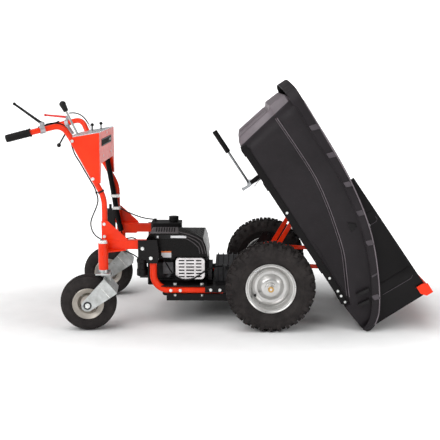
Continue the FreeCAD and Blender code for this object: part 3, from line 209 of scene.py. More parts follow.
MATERIALS = {
    "red": finish_material("red_powder_coat", (222, 44, 8), (240, 54, 12), (0.3, 0.44), coat=0.12,
        grain=(900, 0.0002, 0.12), scuff=((150, 30, 12), 0.25), specular=0.18),
    "black": finish_material("black_powder_coat", (12, 11, 11), (20, 18, 19), (0.34, 0.5),
        grain=(1000, 0.0002, 0.2), scuff=((60, 58, 58), 0.15), specular=0.18),
    "panel": finish_material("black_sheet", (10, 8, 9), (17, 15, 16), (0.34, 0.48),
        grain=(700, 0.0002, 0.12), blotch=4, scuff=((52, 48, 49), 0.12), specular=0.15),
    "tub": finish_material("moulded_charcoal", (25, 21, 24), (36, 32, 35), (0.42, 0.58),
        grain=(620, 0.0004, 0.5), blotch=5, scuff=((88, 82, 88), 0.2), specular=0.2),
    # Painted highlight: a lighter grey for the skirt pads, the skirt step and the side panels' pressed
    # lines, where they catch the light.
    "tub_painted_highlight": finish_material("moulded_painted_highlight", (58, 53, 57), (76, 70, 75), (0.38, 0.5),
        grain=(620, 0.0003, 0.4), blotch=12, specular=0.3),
    # Painted sheen: a pale grey for the rear field and ribs, the rim bead and the ledge beads, where the
    # dark plastic catches the light from the upper left. Its lighter scuffs are wear.
    "tub_painted_sheen": finish_material("moulded_sheen", (98, 90, 95), (120, 112, 117), (0.36, 0.5),
        grain=(620, 0.0003, 0.4), blotch=7, specular=0.4, scuff=((140, 132, 138), 0.25)),
    # Painted shade: a darker grey for the ribs under the rim, where the rim's overhang shades them.
    "tub_painted_shade": finish_material("moulded_painted_shade", (16, 14, 15), (22, 20, 21), (0.5, 0.65),
        grain=(620, 0.0003, 0.4), blotch=12, specular=0.25),
    "shroud": finish_material("engine_cover_gloss", (8, 7, 7), (14, 12, 12), (0.22, 0.34),
        specular=0.13, grain=(260, 0.0002, 0.1)),
    "plastic": finish_material("black_moulding", (14, 13, 14), (22, 21, 22), (0.4, 0.55),
        grain=(900, 0.0003, 0.3), specular=0.25),
    "tyre": finish_material("tyre_rubber", (30, 27, 27), (48, 44, 43), (0.6, 0.82),
        grain=(420, 0.0006, 0.6), blotch=22, scuff=((78, 72, 68), 0.2), specular=0.15),
    "rubber": finish_material("soft_rubber", (14, 13, 13), (24, 22, 22), (0.55, 0.75),
        grain=(800, 0.0004, 0.4), specular=0.2),
    "cable": finish_material("cable_sheath", (6, 5, 6), (12, 10, 11), (0.4, 0.55),
        grain=(1200, 0.0002, 0.2), specular=0.1),
    "wheel": finish_material("wheel_enamel", (190, 189, 187), (208, 207, 205), (0.26, 0.38),
        metallic=0.8, grain=(240, 0.0002, 0.06), blotch=14, scuff=((150, 147, 142), 0.15)),
    "caster": finish_material("caster_enamel", (176, 169, 160), (196, 190, 181), (0.3, 0.46),
        metallic=0.45, grain=(500, 0.0002, 0.2), blotch=20, scuff=((110, 98, 84), 0.4)),
    "zinc": finish_material("zinc_plate", (158, 160, 158), (200, 203, 203), (0.26, 0.46),
        metallic=0.85, grain=(380, 0.0002, 0.2), blotch=26, scuff=((130, 126, 112), 0.3)),
    "steel": finish_material("bright_steel", (176, 176, 178), (214, 214, 216), (0.18, 0.34),
        metallic=1.0, grain=(600, 0.0002, 0.2), blotch=30),
    "guard": finish_material("pressed_guard", (196, 192, 192), (228, 225, 226), (0.24, 0.4),
        metallic=0.9, grain=(300, 0.0003, 0.25), blotch=30),
    "cast": finish_material("dark_casting", (38, 38, 40), (62, 62, 64), (0.45, 0.65), metallic=0.4,
        grain=(450, 0.0008, 0.7), blotch=30),
    "alloy": finish_material("cast_alloy", (150, 150, 153), (186, 186, 190), (0.36, 0.52),
        metallic=0.8, grain=(500, 0.0006, 0.5), blotch=30),
    "bolt": finish_material("bolt_zinc", (206, 208, 206), (232, 234, 232), (0.22, 0.36),
        metallic=0.45, grain=(500, 0.0002, 0.2), blotch=40),
    "sheet": finish_material("bright_sheet", (205, 207, 210), (232, 233, 236), (0.2, 0.34),
        metallic=0.5, grain=(260, 0.0002, 0.25), blotch=16, scuff=((150, 150, 152), 0.3)),
    "cast_mid": finish_material("grey_casting", (72, 72, 74), (104, 104, 107), (0.42, 0.6),
        metallic=0.5, grain=(450, 0.0008, 0.6), blotch=30),
    "shroud_grey": finish_material("cover_grey", (62, 58, 60), (82, 77, 79), (0.3, 0.42),
        grain=(500, 0.0003, 0.3), blotch=12, specular=0.35),
    "orange": finish_material("caution_orange", (214, 96, 20), (230, 112, 30), (0.35, 0.45),
        grain=(300, 0.0001, 0.1)),
    "rod": finish_material("bright_rod", (150, 153, 156), (184, 187, 190), (0.2, 0.3), metallic=0.9,
        grain=(600, 0.0002, 0.2), blotch=30),
    "brass": finish_material("brass", (176, 138, 82), (205, 168, 108), (0.25, 0.4), metallic=1.0,
        grain=(500, 0.0002, 0.3), blotch=40),
    "label": finish_material("blank_label", (196, 196, 198), (214, 214, 216), (0.3, 0.4),
        grain=(300, 0.0001, 0.1)),
    "dark": finish_material("dark_recess", (8, 8, 8), (14, 13, 13), (0.6, 0.8),
        grain=(300, 0.0003, 0.3), specular=0.08),
    "lamp_red": finish_material("lever_red", (200, 22, 12), (222, 34, 18), (0.3, 0.42), coat=0.3,
        grain=(700, 0.0002, 0.15)),
}


# ---------------- mesh helpers

SHARP_ANGLE = math.radians(32)
ROUNDED_ANGLE = math.radians(38)


def link(mesh, name, materials, bevel=0.0, segments=2, matrix=None):
    """A mesh as an object with its materials and rounded edges."""
    if matrix is not None:
        mesh.transform(matrix)
    obj = bpy.data.objects.new(name, mesh)
    for key in materials:
        mesh.materials.append(MATERIALS[key])
    mesh.shade_smooth()
    mesh.set_sharp_from_angle(angle=SHARP_ANGLE)
    scene.collection.objects.link(obj)
    if bevel:
        modifier = obj.modifiers.new("rounded", "BEVEL")
        modifier.width = bevel
        modifier.segments = segments
        modifier.limit_method = "ANGLE"
        modifier.angle_limit = ROUNDED_ANGLE
        modifier.harden_normals = True
    return obj


def mesh_of(name, verts, faces):
    mesh = bpy.data.meshes.new(name)
    mesh.from_pydata([tuple(v) for v in verts], [], faces)
    mesh.validate()
    return mesh


def islands(bm):
    """Connected groups of faces."""
    left = set(bm.faces)
    groups = []
    while left:
        stack = [left.pop()]
        group = []
        while stack:
            face = stack.pop()
            group.append(face)
            for edge in face.edges:
                for other in edge.link_faces:
                    if other in left:
                        left.remove(other)
                        stack.append(other)
        groups.append(group)
    return groups


def skin(node, materials, bevel=0.0012, choose=None, keep=None, paint=None, segments=2):
    """A rounded, finished copy of a CAD node that stands for it. choose gives a material's number
    from the middle and size of each solid; keep leaves out the solids that other pieces stand for;
    paint gives a face's material number from its middle, or None to leave the face out."""
    bm = bmesh.new()
    bm.from_mesh(NODES[node].data)
    bmesh.ops.remove_doubles(bm, verts=bm.verts, dist=2e-5)
    bmesh.ops.dissolve_limit(bm, angle_limit=math.radians(0.6), verts=bm.verts, edges=bm.edges)
    unwanted = []
    if choose or keep:
        for group in islands(bm):
            points = [v.co for face in group for v in face.verts]
            low = Vector([min(p[i] for p in points) for i in range(3)])
            high = Vector([max(p[i] for p in points) for i in range(3)])
            middle = (low + high) / 2
            if keep and not keep(middle, high - low):
                unwanted += group
            elif choose:
                for face in group:
                    face.material_index = choose(middle, high - low)
    if paint:
        for face in bm.faces:
            number = paint(face.calc_center_median())
            if number is None:
                unwanted.append(face)
            else:
                face.material_index = number
    if unwanted:
        bmesh.ops.delete(bm, geom=unwanted, context="FACES")
    mesh = bpy.data.meshes.new(node + "_skin")
    bm.to_mesh(mesh)
    bm.free()
    obj = link(mesh, node + "_skin", materials, bevel, segments)
    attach(obj, BODY_OF[node])
    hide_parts(node)
    return obj


def added(obj, body):
    """A detail piece that rides on a body."""
    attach(obj, body)
    return obj


def lathe(name, profile, centre, materials, segments=96, axis="Y", closed=True):
    """Outline of (radius, distance along the axis) turned about the axis."""
    verts = []
    for step in range(segments):
        angle = 2 * math.pi * step / segments
        for radius, along in profile:
            a = radius * math.cos(angle)
            b = radius * math.sin(angle)
            point = Vector((a, along, b)) if axis == "Y" else Vector((a, b, along))
            verts.append(point)
    count = len(profile)
    faces = []
    last = count if closed else count - 1
    for step in range(segments):
        ahead = (step + 1) % segments
        for index in range(last):
            after = (index + 1) % count
            faces.append((step * count + index, step * count + after,
                          ahead * count + after, ahead * count + index))
    mesh = mesh_of(name, verts, faces)
    tidy(mesh)
    return link(mesh, name, materials, matrix=Matrix.Translation(centre))


def tidy(mesh):
    """Faces look outwards and share their corners."""
    bm = bmesh.new()
    bm.from_mesh(mesh)
    bmesh.ops.remove_doubles(bm, verts=bm.verts, dist=1e-6)
    bmesh.ops.recalc_face_normals(bm, faces=bm.faces)
    bm.to_mesh(mesh)
    bm.free()


def gather(parts):
    """Several (verts, faces) as one."""
    verts = []
    faces = []
    for part_verts, part_faces in parts:
        start = len(verts)
        verts += [Vector(v) for v in part_verts]
        faces += [tuple(index + start for index in face) for face in part_faces]
    return verts, faces


def bridge(first, second):
    """A closed block between two outlines that have the same number of corners."""
    count = len(first)
    faces = [tuple(range(count)), tuple(range(2 * count - 1, count - 1, -1))]
    for index in range(count):
        after = (index + 1) % count
        faces.append((index, index + count, after + count, after))
    return list(first) + list(second), faces


def prism(outline, low, high, axis="y"):
    """A flat outline given thickness: (x, z) corners from low to high along y, or (y, z) along x."""
    if axis == "y":
        return bridge([Vector((a, low, b)) for a, b in outline],
                      [Vector((a, high, b)) for a, b in outline])
    return bridge([Vector((low, a, b)) for a, b in outline],
                  [Vector((high, a, b)) for a, b in outline])


def piece(name, parts, materials, body, bevel=0.0012, matrix=None, segments=2):
    """Blocks and beads gathered into one rounded piece that rides on a body."""
    verts, faces = gather(parts)
    mesh = mesh_of(name, verts, faces)
    tidy(mesh)
    obj = link(mesh, name, materials, bevel, segments, matrix)
    return added(obj, body)


def drum(centre, direction, sides, rings):
    """A closed many-sided block: rings of (radius, height) stacked along direction."""
    direction = Vector(direction).normalized()
    side = direction.orthogonal().normalized()
    other = direction.cross(side)
    verts = []
    for radius, height in rings:
        for step in range(sides):
            angle = 2 * math.pi * step / sides
            verts.append(Vector(centre) + direction * height
                         + side * radius * math.cos(angle) + other * radius * math.sin(angle))
    last = sides * (len(rings) - 1)
    faces = [tuple(range(sides - 1, -1, -1)), tuple(range(last, last + sides))]
    for row in range(0, last, sides):
        for step in range(sides):
            after = (step + 1) % sides
            faces.append((row + step, row + after, row + sides + after, row + sides + step))
    return verts, faces


def hexagon(centre, direction, radius, height, flange=0.0):
    """A six-sided bolt head with a chamfered top, and its flange where it has one."""
    rings = [(radius, 0.0), (radius, height * 0.82), (radius * 0.86, height)]
    parts = [drum(centre, direction, 6, rings)]
    if flange:
        parts.append(drum(centre, direction, 20, [(flange, 0.0), (flange, 0.0016)]))
    return gather(parts)


def ribbon(points, across, lift, width, height):
    """A flat bead along points: width across its line and height proud of the wall."""
    verts = []
    for index, point in enumerate(points):
        ahead = points[min(index + 1, len(points) - 1)]
        behind = points[max(index - 1, 0)]
        along = (ahead - behind).normalized()
        side = along.cross(across).normalized() * width / 2
        for offset_side, offset_out in ((-1, lift - 0.001), (-0.55, lift + height),
                                        (0.55, lift + height), (1, lift - 0.001)):
            verts.append(point + side * offset_side + across * offset_out)
    faces = []
    for index in range(len(points) - 1):
        for corner in range(4):
            after = (corner + 1) % 4
            faces.append((index * 4 + corner, index * 4 + after, index * 4 + 4 + after,
                          index * 4 + 4 + corner))
    last = (len(points) - 1) * 4
    faces += [(3, 2, 1, 0), (last, last + 1, last + 2, last + 3)]
    return verts, faces


def wire(name, points, radius, material):
    """A smooth round cord on a NURBS spline that follows these control points."""
    data = bpy.data.curves.new(name, "CURVE")
    data.dimensions = "3D"
    data.bevel_depth = 1.0
    data.bevel_resolution = 4
    data.resolution_u = 8
    data.use_fill_caps = True
    spline = data.splines.new("NURBS")
    spline.points.add(len(points) - 1)
    for control, point in zip(spline.points, points):
        control.co = (*point, 1.0)
        control.radius = radius
    spline.order_u = 3
    spline.use_endpoint_u = True
    data.materials.append(MATERIALS[material])
    obj = bpy.data.objects.new(name, data)
    scene.collection.objects.link(obj)
    return obj


def turned(name, profile, start, direction, materials, segments=48):
    """Closed outline of (radius, distance) turned about the line from start along direction."""
    obj = lathe(name, profile, Vector((0, 0, 0)), materials, segments, axis="Z")
    turn = Vector(direction).to_track_quat("Z", "Y").to_matrix().to_4x4()
    obj.data.transform(Matrix.Translation(start) @ turn)
    return obj


def spline_length(obj):
    """Length of a curve's own line."""
    depth = obj.data.bevel_depth
    obj.data.bevel_depth = 0
    line = bpy.data.meshes.new_from_object(obj)
    obj.data.bevel_depth = depth
    total = sum((line.vertices[e.vertices[0]].co - line.vertices[e.vertices[1]].co).length
                for e in line.edges)
    bpy.data.meshes.remove(line)
    return total


# ---------------- free cables

CABLE_RADIUS = 0.003
BRAKE_LOOP = [(-791, -222, 608), (-783, -226, 584), (-789, -236, 552), (-803, -250, 519),
              (-816, -260, 484), (-813, -260, 450), (-802, -246, 422), (-789, -222, 403),
              (-770, -201, 388), (-742, -190, 370), (-711, -184, 352), (-680, -174, 335),
              (-651, -156, 318), (-627, -130, 298), (-612, -102, 274), (-602, -80, 248),
              (-578, -68, 228)]
THROTTLE_ROUTE = [(-736, 190, 475), (-712, 168, 467), (-684, 148, 458), (-654, 132, 449),
                  (-623, 120, 441), (-592, 112, 436), (-560, 106, 434)]


def free_cable(node, route):
    """A cable drawn along its route and riding on the chassis, which stands for its CAD tube."""
    points = [at(*point) for point in route]
    obj = wire(node + "_wire", points, CABLE_RADIUS, "cable")
    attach(obj, "chassis")
    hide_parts(node)
    round(spline_length(obj), 4)


free_cable("brake_cable_loop", BRAKE_LOOP)
free_cable("throttle_cable", THROTTLE_ROUTE)

# ---------------- floor

FLOOR_HALF = 40.0
SHADE_STRETCH = (0.5, 1.0, 1.0)
SHADE_START = 0.4
SHADE_END = 1.15
FLOOR_GLOW = 0.6
WALL_RADIUS = 38.0
WALL_TOP = 30.0
ROOF_HEIGHT = 34.0


def fading_floor():
    """Pale floor that takes the shadow near the machine, with painted shade there: its glow is nil near
    the machine and grows with distance, so it fades to white round it.
    """
    material = finish_material("pale_floor_painted_shade", (232, 232, 232), (237, 237, 237), (0.7, 0.8), specular=0.1)
    tree = material.node_tree
    shader = tree.nodes["Principled BSDF"]
    shader.inputs["Emission Color"].default_value = (1, 1, 1, 1)
    place = tree.nodes.new("ShaderNodeTexCoord").outputs["Object"]
    oval = tree.nodes.new("ShaderNodeMapping")
    oval.inputs["Scale"].default_value = SHADE_STRETCH
    tree.links.new(place, oval.inputs["Vector"])
    distance = tree.nodes.new("ShaderNodeVectorMath")
    distance.operation = "LENGTH"
    tree.links.new(oval.outputs["Vector"], distance.inputs[0])
    fade = tree.nodes.new("ShaderNodeMapRange")
    fade.interpolation_type = "SMOOTHSTEP"
    fade.inputs["From Min"].default_value = SHADE_START
    fade.inputs["From Max"].default_value = SHADE_END
    fade.inputs["To Min"].default_value = 0.0
    fade.inputs["To Max"].default_value = FLOOR_GLOW
    tree.links.new(distance.outputs["Value"], fade.inputs["Value"])
    tree.links.new(fade.outputs["Result"], shader.inputs["Emission Strength"])
    return material


corners = [(-FLOOR_HALF, -FLOOR_HALF, 0), (FLOOR_HALF, -FLOOR_HALF, 0),
           (FLOOR_HALF, FLOOR_HALF, 0), (-FLOOR_HALF, FLOOR_HALF, 0)]
floor = link(mesh_of("floor", corners, [(0, 1, 2, 3)]), "floor", [])
floor.data.materials.append(fading_floor())

# A white studio wall all round, which the camera sees and which lights nothing.
wall = lathe("studio_wall", [(WALL_RADIUS, -1.0), (WALL_RADIUS, WALL_TOP), (0.01, ROOF_HEIGHT)],
             Vector((0, 0, 0)), [], segments=48, axis="Z", closed=False)
wall_material = bpy.data.materials.new("studio_white")
wall_material.use_nodes = True
wall_shader = wall_material.node_tree.nodes["Principled BSDF"]
wall_shader.inputs["Base Color"].default_value = (1, 1, 1, 1)
wall_shader.inputs["Emission Color"].default_value = (1, 1, 1, 1)
wall_shader.inputs["Emission Strength"].default_value = 1.0
wall.data.materials.append(wall_material)
wall.visible_diffuse = False
wall.visible_glossy = False
wall.visible_transmission = False
wall.visible_shadow = False

# ---------------- fixed frame

skin("frame_tubes", ["red"], 0.0008)
skin("axle_plates", ["black"], 0.0012)
skin("axle_and_kingpin_bearings", ["steel"], 0.0008)
skin("side_brackets", ["black"], 0.0015)
skin("caster_arms", ["red"], 0.003, segments=3)
skin("gussets", ["red"], 0.0012)
skin("deck_plates", ["black"], 0.001)
skin("belt_cover", ["black"], 0.003, segments=3)
skin("frame_bolts", ["bolt"], 0.0008)
skin("hinge_shaft", ["steel"], 0.0015)
skin("right_handlebar", ["red"], 0.0006)
skin("left_handlebar", ["red"], 0.0006)
skin("console_housing", ["red", "bolt"], 0.0009,
     choose=lambda middle, size: 0 if size.z > 0.1 else 1,
     keep=lambda middle, size: size.z > 0.1 or size.y < 0.1)
skin("console_top", ["sheet"], 0.0007)
CONSOLE_FACE = -771.2


def console_block(y0, y1, z0, z1, cut, proud, sunk=0.0):
    """A plate with clipped corners on the console's front."""
    corners = [(y0 + cut, z0), (y1 - cut, z0), (y1, z0 + cut), (y1, z1 - cut), (y1 - cut, z1),
               (y0 + cut, z1), (y0, z1 - cut), (y0, z0 + cut)]
    outline = [(y / 1000, z / 1000) for y, z in corners]
    return prism(outline, AXLE_X + (CONSOLE_FACE - sunk) / 1000,
                 AXLE_X + (CONSOLE_FACE + proud) / 1000, "x")


piece("name_plate", [console_block(-172, 140, 818, 852, 4, 1.0, 0.3)], ["dark"], "chassis",
      0.0004)
plate_rim = [console_block(-166, 134, 820.5, 822.5, 1, 1.5),
             console_block(-166, 134, 847.5, 849.5, 1, 1.5),
             console_block(60, 128, 829, 841, 5, 1.5)]
piece("name_plate_rim", plate_rim, ["shroud_grey"], "chassis", 0.0003)
screws = [hexagon(at(CONSOLE_FACE, y, z), (1, 0, 0), 0.0045, 0.0015, 0.006)
          for y, z in ((120, 772), (-120, 772), (0, 872))]
piece("console_screws", screws, ["bolt"], "chassis", 0.0003)
skin("lever_clamps", ["alloy"], 0.001)
skin("cable_clamps", ["bolt", "plastic"], 0.0008,
     choose=lambda middle, size: 0 if middle.y > 0.15 else 1)
skin("relay_box", ["plastic"], 0.002, segments=3)
skin("cable_conduit", ["cable"], 0.001)
skin("control_cables", ["cable"], 0.0004)
skin("handle_grips", ["rubber"], 0.0015, segments=3)
GRIP_END = at(-1164, -320, 865)
GRIP_WAY = (at(-1058, -316, 892) - GRIP_END).normalized()
for side, sign in (("right", 1), ("left", -1)):
    end = Vector((GRIP_END.x, GRIP_END.y * sign, GRIP_END.z))
    way = Vector((GRIP_WAY.x, GRIP_WAY.y * sign, GRIP_WAY.z))
    ridges = []
    for step in range(13):
        along = 0.006 + 0.0076 * step
        ridges += [(0.0164, along), (0.0176, along + 0.001), (0.0176, along + 0.0042),
                   (0.0164, along + 0.0052)]
    ridges += [(0.0164, 0.104), (0.0160, 0.104), (0.0160, 0.0)]
    added(turned(side + "_grip_ridges", ridges, end, way, ["rubber"]), "chassis")

# ---------------- engine and drive

skin("engine_block", ["cast"], 0.0015)
skin("blower_shroud", ["shroud"], 0.006, segments=4)
skin("fuel_tank", ["plastic"], 0.003, segments=3)
skin("fuel_cap", ["plastic"], 0.0012)
skin("carburettor", ["cast_mid"], 0.002)
NEAR_FACE = -0.185


def cover_block(corners, proud, sunk=0.0):
    """A flat plate on the engine cover's near side: corners are (x, z)."""
    outline = [(AXLE_X + x / 1000, z / 1000) for x, z in corners]
    return prism(outline, NEAR_FACE - proud, NEAR_FACE + sunk)


def oblong(x0, x1, z0, z1):
    return [(x0, z0), (x1, z0), (x1, z1), (x0, z1)]


panel_foot = [at(x, y, z) for x, y, z in ((-560, -183.5, 416), (-420, -183.5, 416),
                                          (-426, -126, 435.8), (-540, -126, 435.8))]
panel_top = [at(x, y, z) for x, y, z in ((-556, -181, 418.6), (-424, -181, 418.6),
                                         (-430, -130, 437.2), (-536, -130, 437.2))]
piece("shroud_top_panel", [bridge(panel_foot, panel_top)], ["shroud_grey"], "chassis",
      0.0012)
VENT_WIDTH = 5
VENT_PITCH = 12
vents = []
for x in range(-528, -436, VENT_PITCH):
    section = ((-172, 421), (-136, 433.5), (-136, 436.6), (-172, 423.4))
    vents.append(bridge([at(x, y, z) for y, z in section],
                        [at(x + VENT_WIDTH, y, z) for y, z in section]))
piece("shroud_vents", vents, ["shroud"], "chassis", 0.0004)
strip = [(-528, 391), (-380, 391), (-376, 395), (-376, 406), (-380, 410), (-528, 410), (-532, 406),
         (-532, 395)]
piece("shroud_strip", [cover_block(strip, 0.0016, 0.001)], ["plastic"], "chassis",
      0.0006)
bar = [(-458, 395.5), (-388, 395.5), (-385, 398), (-385, 404), (-388, 406.5), (-458, 406.5)]
piece("shroud_strip_inlay", [cover_block(bar, 0.0022), cover_block(oblong(-522, -514, 395, 406), 0.0022)],
      ["label"], "chassis", 0.0004)
piece("blank_tag", [cover_block(oblong(-502, -456, 303, 326), 0.0008)], ["label"], "chassis",
      0.0002)
piece("blank_tag_band", [cover_block(oblong(-502, -456, 326.5, 333), 0.0008)], ["orange"], "chassis",
      0.0002)
near_way = Vector((0, -1, 0))
arcs = []
for inset in (0, 13, 26):
    arc = [(-420 + inset, 424 - inset * 1.1), (-372, 412 - inset), (-338 - inset * 0.5, 398 - inset),
           (-314 - inset, 382 - inset * 0.8), (-302 - inset, 350), (-296 - inset, 322)]
    arcs.append(ribbon([at(x, -185, z) for x, z in arc], near_way, 0.0, 0.0050, 0.0022))
piece("shroud_grooves", arcs, ["shroud_grey"], "chassis", 0.0005)
starter = turned("electric_starter", [(0.0, 0.0), (0.024, 0.0), (0.026, 0.004), (0.026, 0.030),
                                      (0.023, 0.033), (0.023, 0.060), (0.026, 0.063), (0.026, 0.078),
                                      (0.022, 0.084), (0.0, 0.086)],
                 at(-594, -168, 214), (0, 0, 1), ["plastic"], 40)
added(starter, "chassis")
piece("starter_foot", [cover_block(oblong(-604, -566, 206, 218), 0.001, 0.035)], ["cast"], "chassis",
      0.0015)
skin("muffler", ["guard", "dark"], 0.0012,
     choose=lambda middle, size: 0 if size.x > 0.12 else 1)
rods = []
for z in (216, 231, 246, 261, 276, 291):
    rods.append(ribbon([at(x, -199.5, z + 7.6) for x in (-424, -367, -311)], near_way, 0.0, 0.0044,
                       0.0024))
for x in (-390, -345):
    rods.append(ribbon([at(x, -199.5, z) for z in (212, 254, 297)], near_way, 0.0, 0.0050, 0.0028))
piece("muffler_guard_ribs", rods, ["guard"], "chassis", 0.0004)
skin("transaxle", ["cast"], 0.002)
skin("crankshaft", ["steel"], 0.0008)
skin("input_shaft", ["steel"], 0.0008)
skin("drive_belt", ["cable"], 0.0005)

# ---------------- drive wheels

AXLE_HEIGHT = 0.203
TRACK_HALF = 0.325
SHOULDER_LUGS = 30
CARCASS_HALF = [(0.1016, 0.036), (0.1016, 0.0450), (0.1105, 0.0492), (0.1170, 0.0500), (0.1195, 0.0520),
                (0.1225, 0.0522), (0.1270, 0.0545), (0.1420, 0.0570), (0.1450, 0.0585), (0.1475, 0.0585),
                (0.1500, 0.0574), (0.1660, 0.0572), (0.1800, 0.0540), (0.1885, 0.0460), (0.1925, 0.0300),
                (0.1935, 0.0150)]
CARCASS_INNER = [(0.1870, 0.020), (0.1830, 0.040), (0.1750, 0.049), (0.1500, 0.051), (0.1280, 0.048),
                 (0.1120, 0.038), (0.1056, 0.036)]


def both_sides(half):
    """A half outline of (radius, across) followed by its mirror image."""
    return half + [(radius, -across) for radius, across in reversed(half)]


def ring_block(outline, centre, angle, width, taper):
    """A tread block: outline of (distance across, radius), given width round the wheel."""
    ends = []
    low = min(radius for _, radius in outline)
    high = max(radius for _, radius in outline)
    for turn_side in (-1, 1):
        end = []
        for across, radius in outline:
            share = (radius - low) / (high - low)
            half = width / 2 * (1 - taper * share)
            around = angle + turn_side * half / radius
            end.append(centre + Vector((radius * math.cos(around), across,
                                        radius * math.sin(around))))
        ends.append(end)
    return bridge(*ends)


def knobby_tyre(side, sign):
    """Carcass with raised sidewall rings, wrap-over shoulder lugs and staggered crown lugs."""
    centre = Vector((AXLE_X, sign * TRACK_HALF, AXLE_HEIGHT))
    outline = both_sides(CARCASS_HALF) + both_sides(CARCASS_INNER)[::-1]
    carcass = lathe(side + "_tyre_carcass", outline, centre, ["tyre"], 120)
    added(carcass, side + "_wheel")
    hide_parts(side + "_drive_tyre")
    long_lug = [(0.030, 0.1880), (0.031, 0.2018), (0.048, 0.2000), (0.0560, 0.1925), (0.0588, 0.1790),
                (0.0586, 0.1640), (0.0540, 0.1620)]
    short_lug = [(0.036, 0.1860), (0.037, 0.2012), (0.049, 0.1995), (0.0570, 0.1915), (0.0588, 0.1800),
                 (0.0560, 0.1770)]
    crown_lug = [(0.006, 0.1900), (0.007, 0.2026), (0.026, 0.2024), (0.027, 0.1900)]
    pitch = 2 * math.pi / SHOULDER_LUGS
    blocks = []
    for index in range(SHOULDER_LUGS):
        for across, offset in ((1, 0.0), (-1, 0.5)):
            angle = pitch * (index + offset)
            shoulder = long_lug if index % 2 else short_lug
            blocks.append(ring_block([(across * a, r) for a, r in shoulder], centre, angle,
                                     0.021 if index % 2 else 0.017, 0.22))
            blocks.append(ring_block([(across * a, r) for a, r in crown_lug], centre,
                                     angle + pitch * 0.5, 0.020, 0.2))
            side_rib = [(across * a, r) for a, r in ((0.0560, 0.158), (0.0588, 0.157),
                                                     (0.0584, 0.152), (0.0560, 0.151))]
            blocks.append(ring_block(side_rib, centre, angle, 0.010, 0.0))
    piece(side + "_tyre_lugs", blocks, ["tyre"], side + "_wheel", bevel=0.0014)


def pressed_rim(side, sign):
    """Rolled flanges, bead seats and a dish with raised rings, with the valve and hub."""
    centre = Vector((AXLE_X, sign * TRACK_HALF, AXLE_HEIGHT))
    barrel = [(0.1120, 0.0500), (0.1122, 0.0525), (0.1095, 0.0532), (0.1065, 0.0515), (0.1040, 0.0478),
              (0.0990, 0.0468), (0.0968, 0.0440), (0.0966, 0.0300), (0.0930, 0.0250), (0.0930, 0.0100),
              (0.0950, 0.0), (0.1010, 0.0), (0.1014, 0.0440), (0.1060, 0.0490), (0.1090, 0.0500)]
    for across in (-1, 1):
        flange = lathe(side + "_rim_barrel_" + ("outer" if across == sign else "inner"),
                       [(r, across * a) for r, a in barrel], centre, ["wheel"], 120)
        added(flange, side + "_wheel")
    dish = [(0.0968, 0.0060), (0.0968, 0.0105), (0.0880, 0.0120), (0.0830, 0.0175), (0.0790, 0.0190),
            (0.0760, 0.0165), (0.0720, 0.0140), (0.0600, 0.0150), (0.0540, 0.0215), (0.0480, 0.0245),
            (0.0430, 0.0310), (0.0380, 0.0335), (0.0240, 0.0335), (0.0225, 0.0455), (0.0135, 0.0455),
            (0.0135, 0.0290), (0.0360, 0.0290), (0.0400, 0.0270), (0.0450, 0.0200), (0.0520, 0.0160),
            (0.0580, 0.0105), (0.0720, 0.0095), (0.0780, 0.0140), (0.0860, 0.0075)]
    disc = lathe(side + "_rim_dish", [(r, sign * a) for r, a in dish], centre, ["wheel"], 120)
    added(disc, side + "_wheel")
    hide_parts(side + "_drive_rim")
    hub = lathe(side + "_hub_tube", [(0.0132, -sign * 0.044), (0.0220, -sign * 0.044),
                                     (0.0225, sign * 0.028), (0.0132, sign * 0.028)],
                centre, ["wheel"], 48)
    added(hub, side + "_wheel")
    stem = turned(side + "_valve", [(0.0, 0.0), (0.0058, 0.0), (0.0052, 0.014), (0.0034, 0.016),
                                    (0.0034, 0.024), (0.0042, 0.0245), (0.0042, 0.030), (0.0, 0.0305)],
                  centre + Vector((-0.070, sign * 0.010, -0.038)), (0.05, sign * 1.0, 0.05),
                  ["rubber"], 20)
    added(stem, side + "_wheel")
    weight = [(0.1000, 0.0480), (0.1040, 0.0500), (0.1080, 0.0534), (0.1040, 0.0536), (0.0990, 0.0500)]
    piece(side + "_balance_weight", [ring_block([(sign * a, r) for r, a in weight], centre, 2.2, 0.030,
                                                0.0)], ["steel"], side + "_wheel", 0.0008)


for side, sign in (("right", -1), ("left", 1)):
    knobby_tyre(side, sign)
    pressed_rim(side, sign)
    skin(side + "_half_shaft", ["steel", "wheel"], 0.001,
         choose=lambda middle, size: 0 if size.y > 0.1 else 1)
    reach = max(abs(corner.y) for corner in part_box(side + "_half_shaft"))
    cap = turned(side + "_shaft_cap", [(0.0, -0.004), (0.0128, -0.004), (0.0132, 0.0), (0.0120, 0.0012),
                                       (0.0060, 0.0014), (0.0050, -0.001), (0.0, -0.001)],
                 Vector((AXLE_X, sign * reach, AXLE_HEIGHT)), (0, sign, 0), ["brass"], 32)
    added(cap, side + "_wheel")

# ---------------- casters

# The casters stand a little turned, as the CAD has them.
CASTER_TURN = Matrix.Rotation(math.radians(5), 4, "Z")
CASTER_HALF = [(0.0510, 0.0290), (0.0640, 0.0345), (0.0700, 0.0405), (0.0760, 0.0430), (0.0800, 0.0430),
               (0.0820, 0.0452), (0.0960, 0.0458), (0.1060, 0.0445), (0.1120, 0.0425), (0.1130, 0.0405),
               (0.1160, 0.0400), (0.1185, 0.0365), (0.1215, 0.0330), (0.1215, 0.0305), (0.1180, 0.0290),
               (0.1180, 0.0265), (0.1240, 0.0250), (0.1255, 0.0160), (0.1215, 0.0145), (0.1215, 0.0115),
               (0.1262, 0.0100), (0.1270, 0.0030), (0.1230, 0.0015)]
CASTER_INNER = [(0.1130, 0.018), (0.1090, 0.030), (0.1020, 0.037), (0.0900, 0.038), (0.0750, 0.035),
                (0.0580, 0.026)]
CASTER_RIM_HALF = [(0.0700, 0.0390), (0.0706, 0.0415), (0.0690, 0.0424), (0.0670, 0.0410),
                   (0.0620, 0.0385), (0.0540, 0.0345), (0.0490, 0.0330), (0.0472, 0.0300),
                   (0.0470, 0.0), (0.0508, 0.0), (0.0508, 0.0300), (0.0640, 0.0350)]


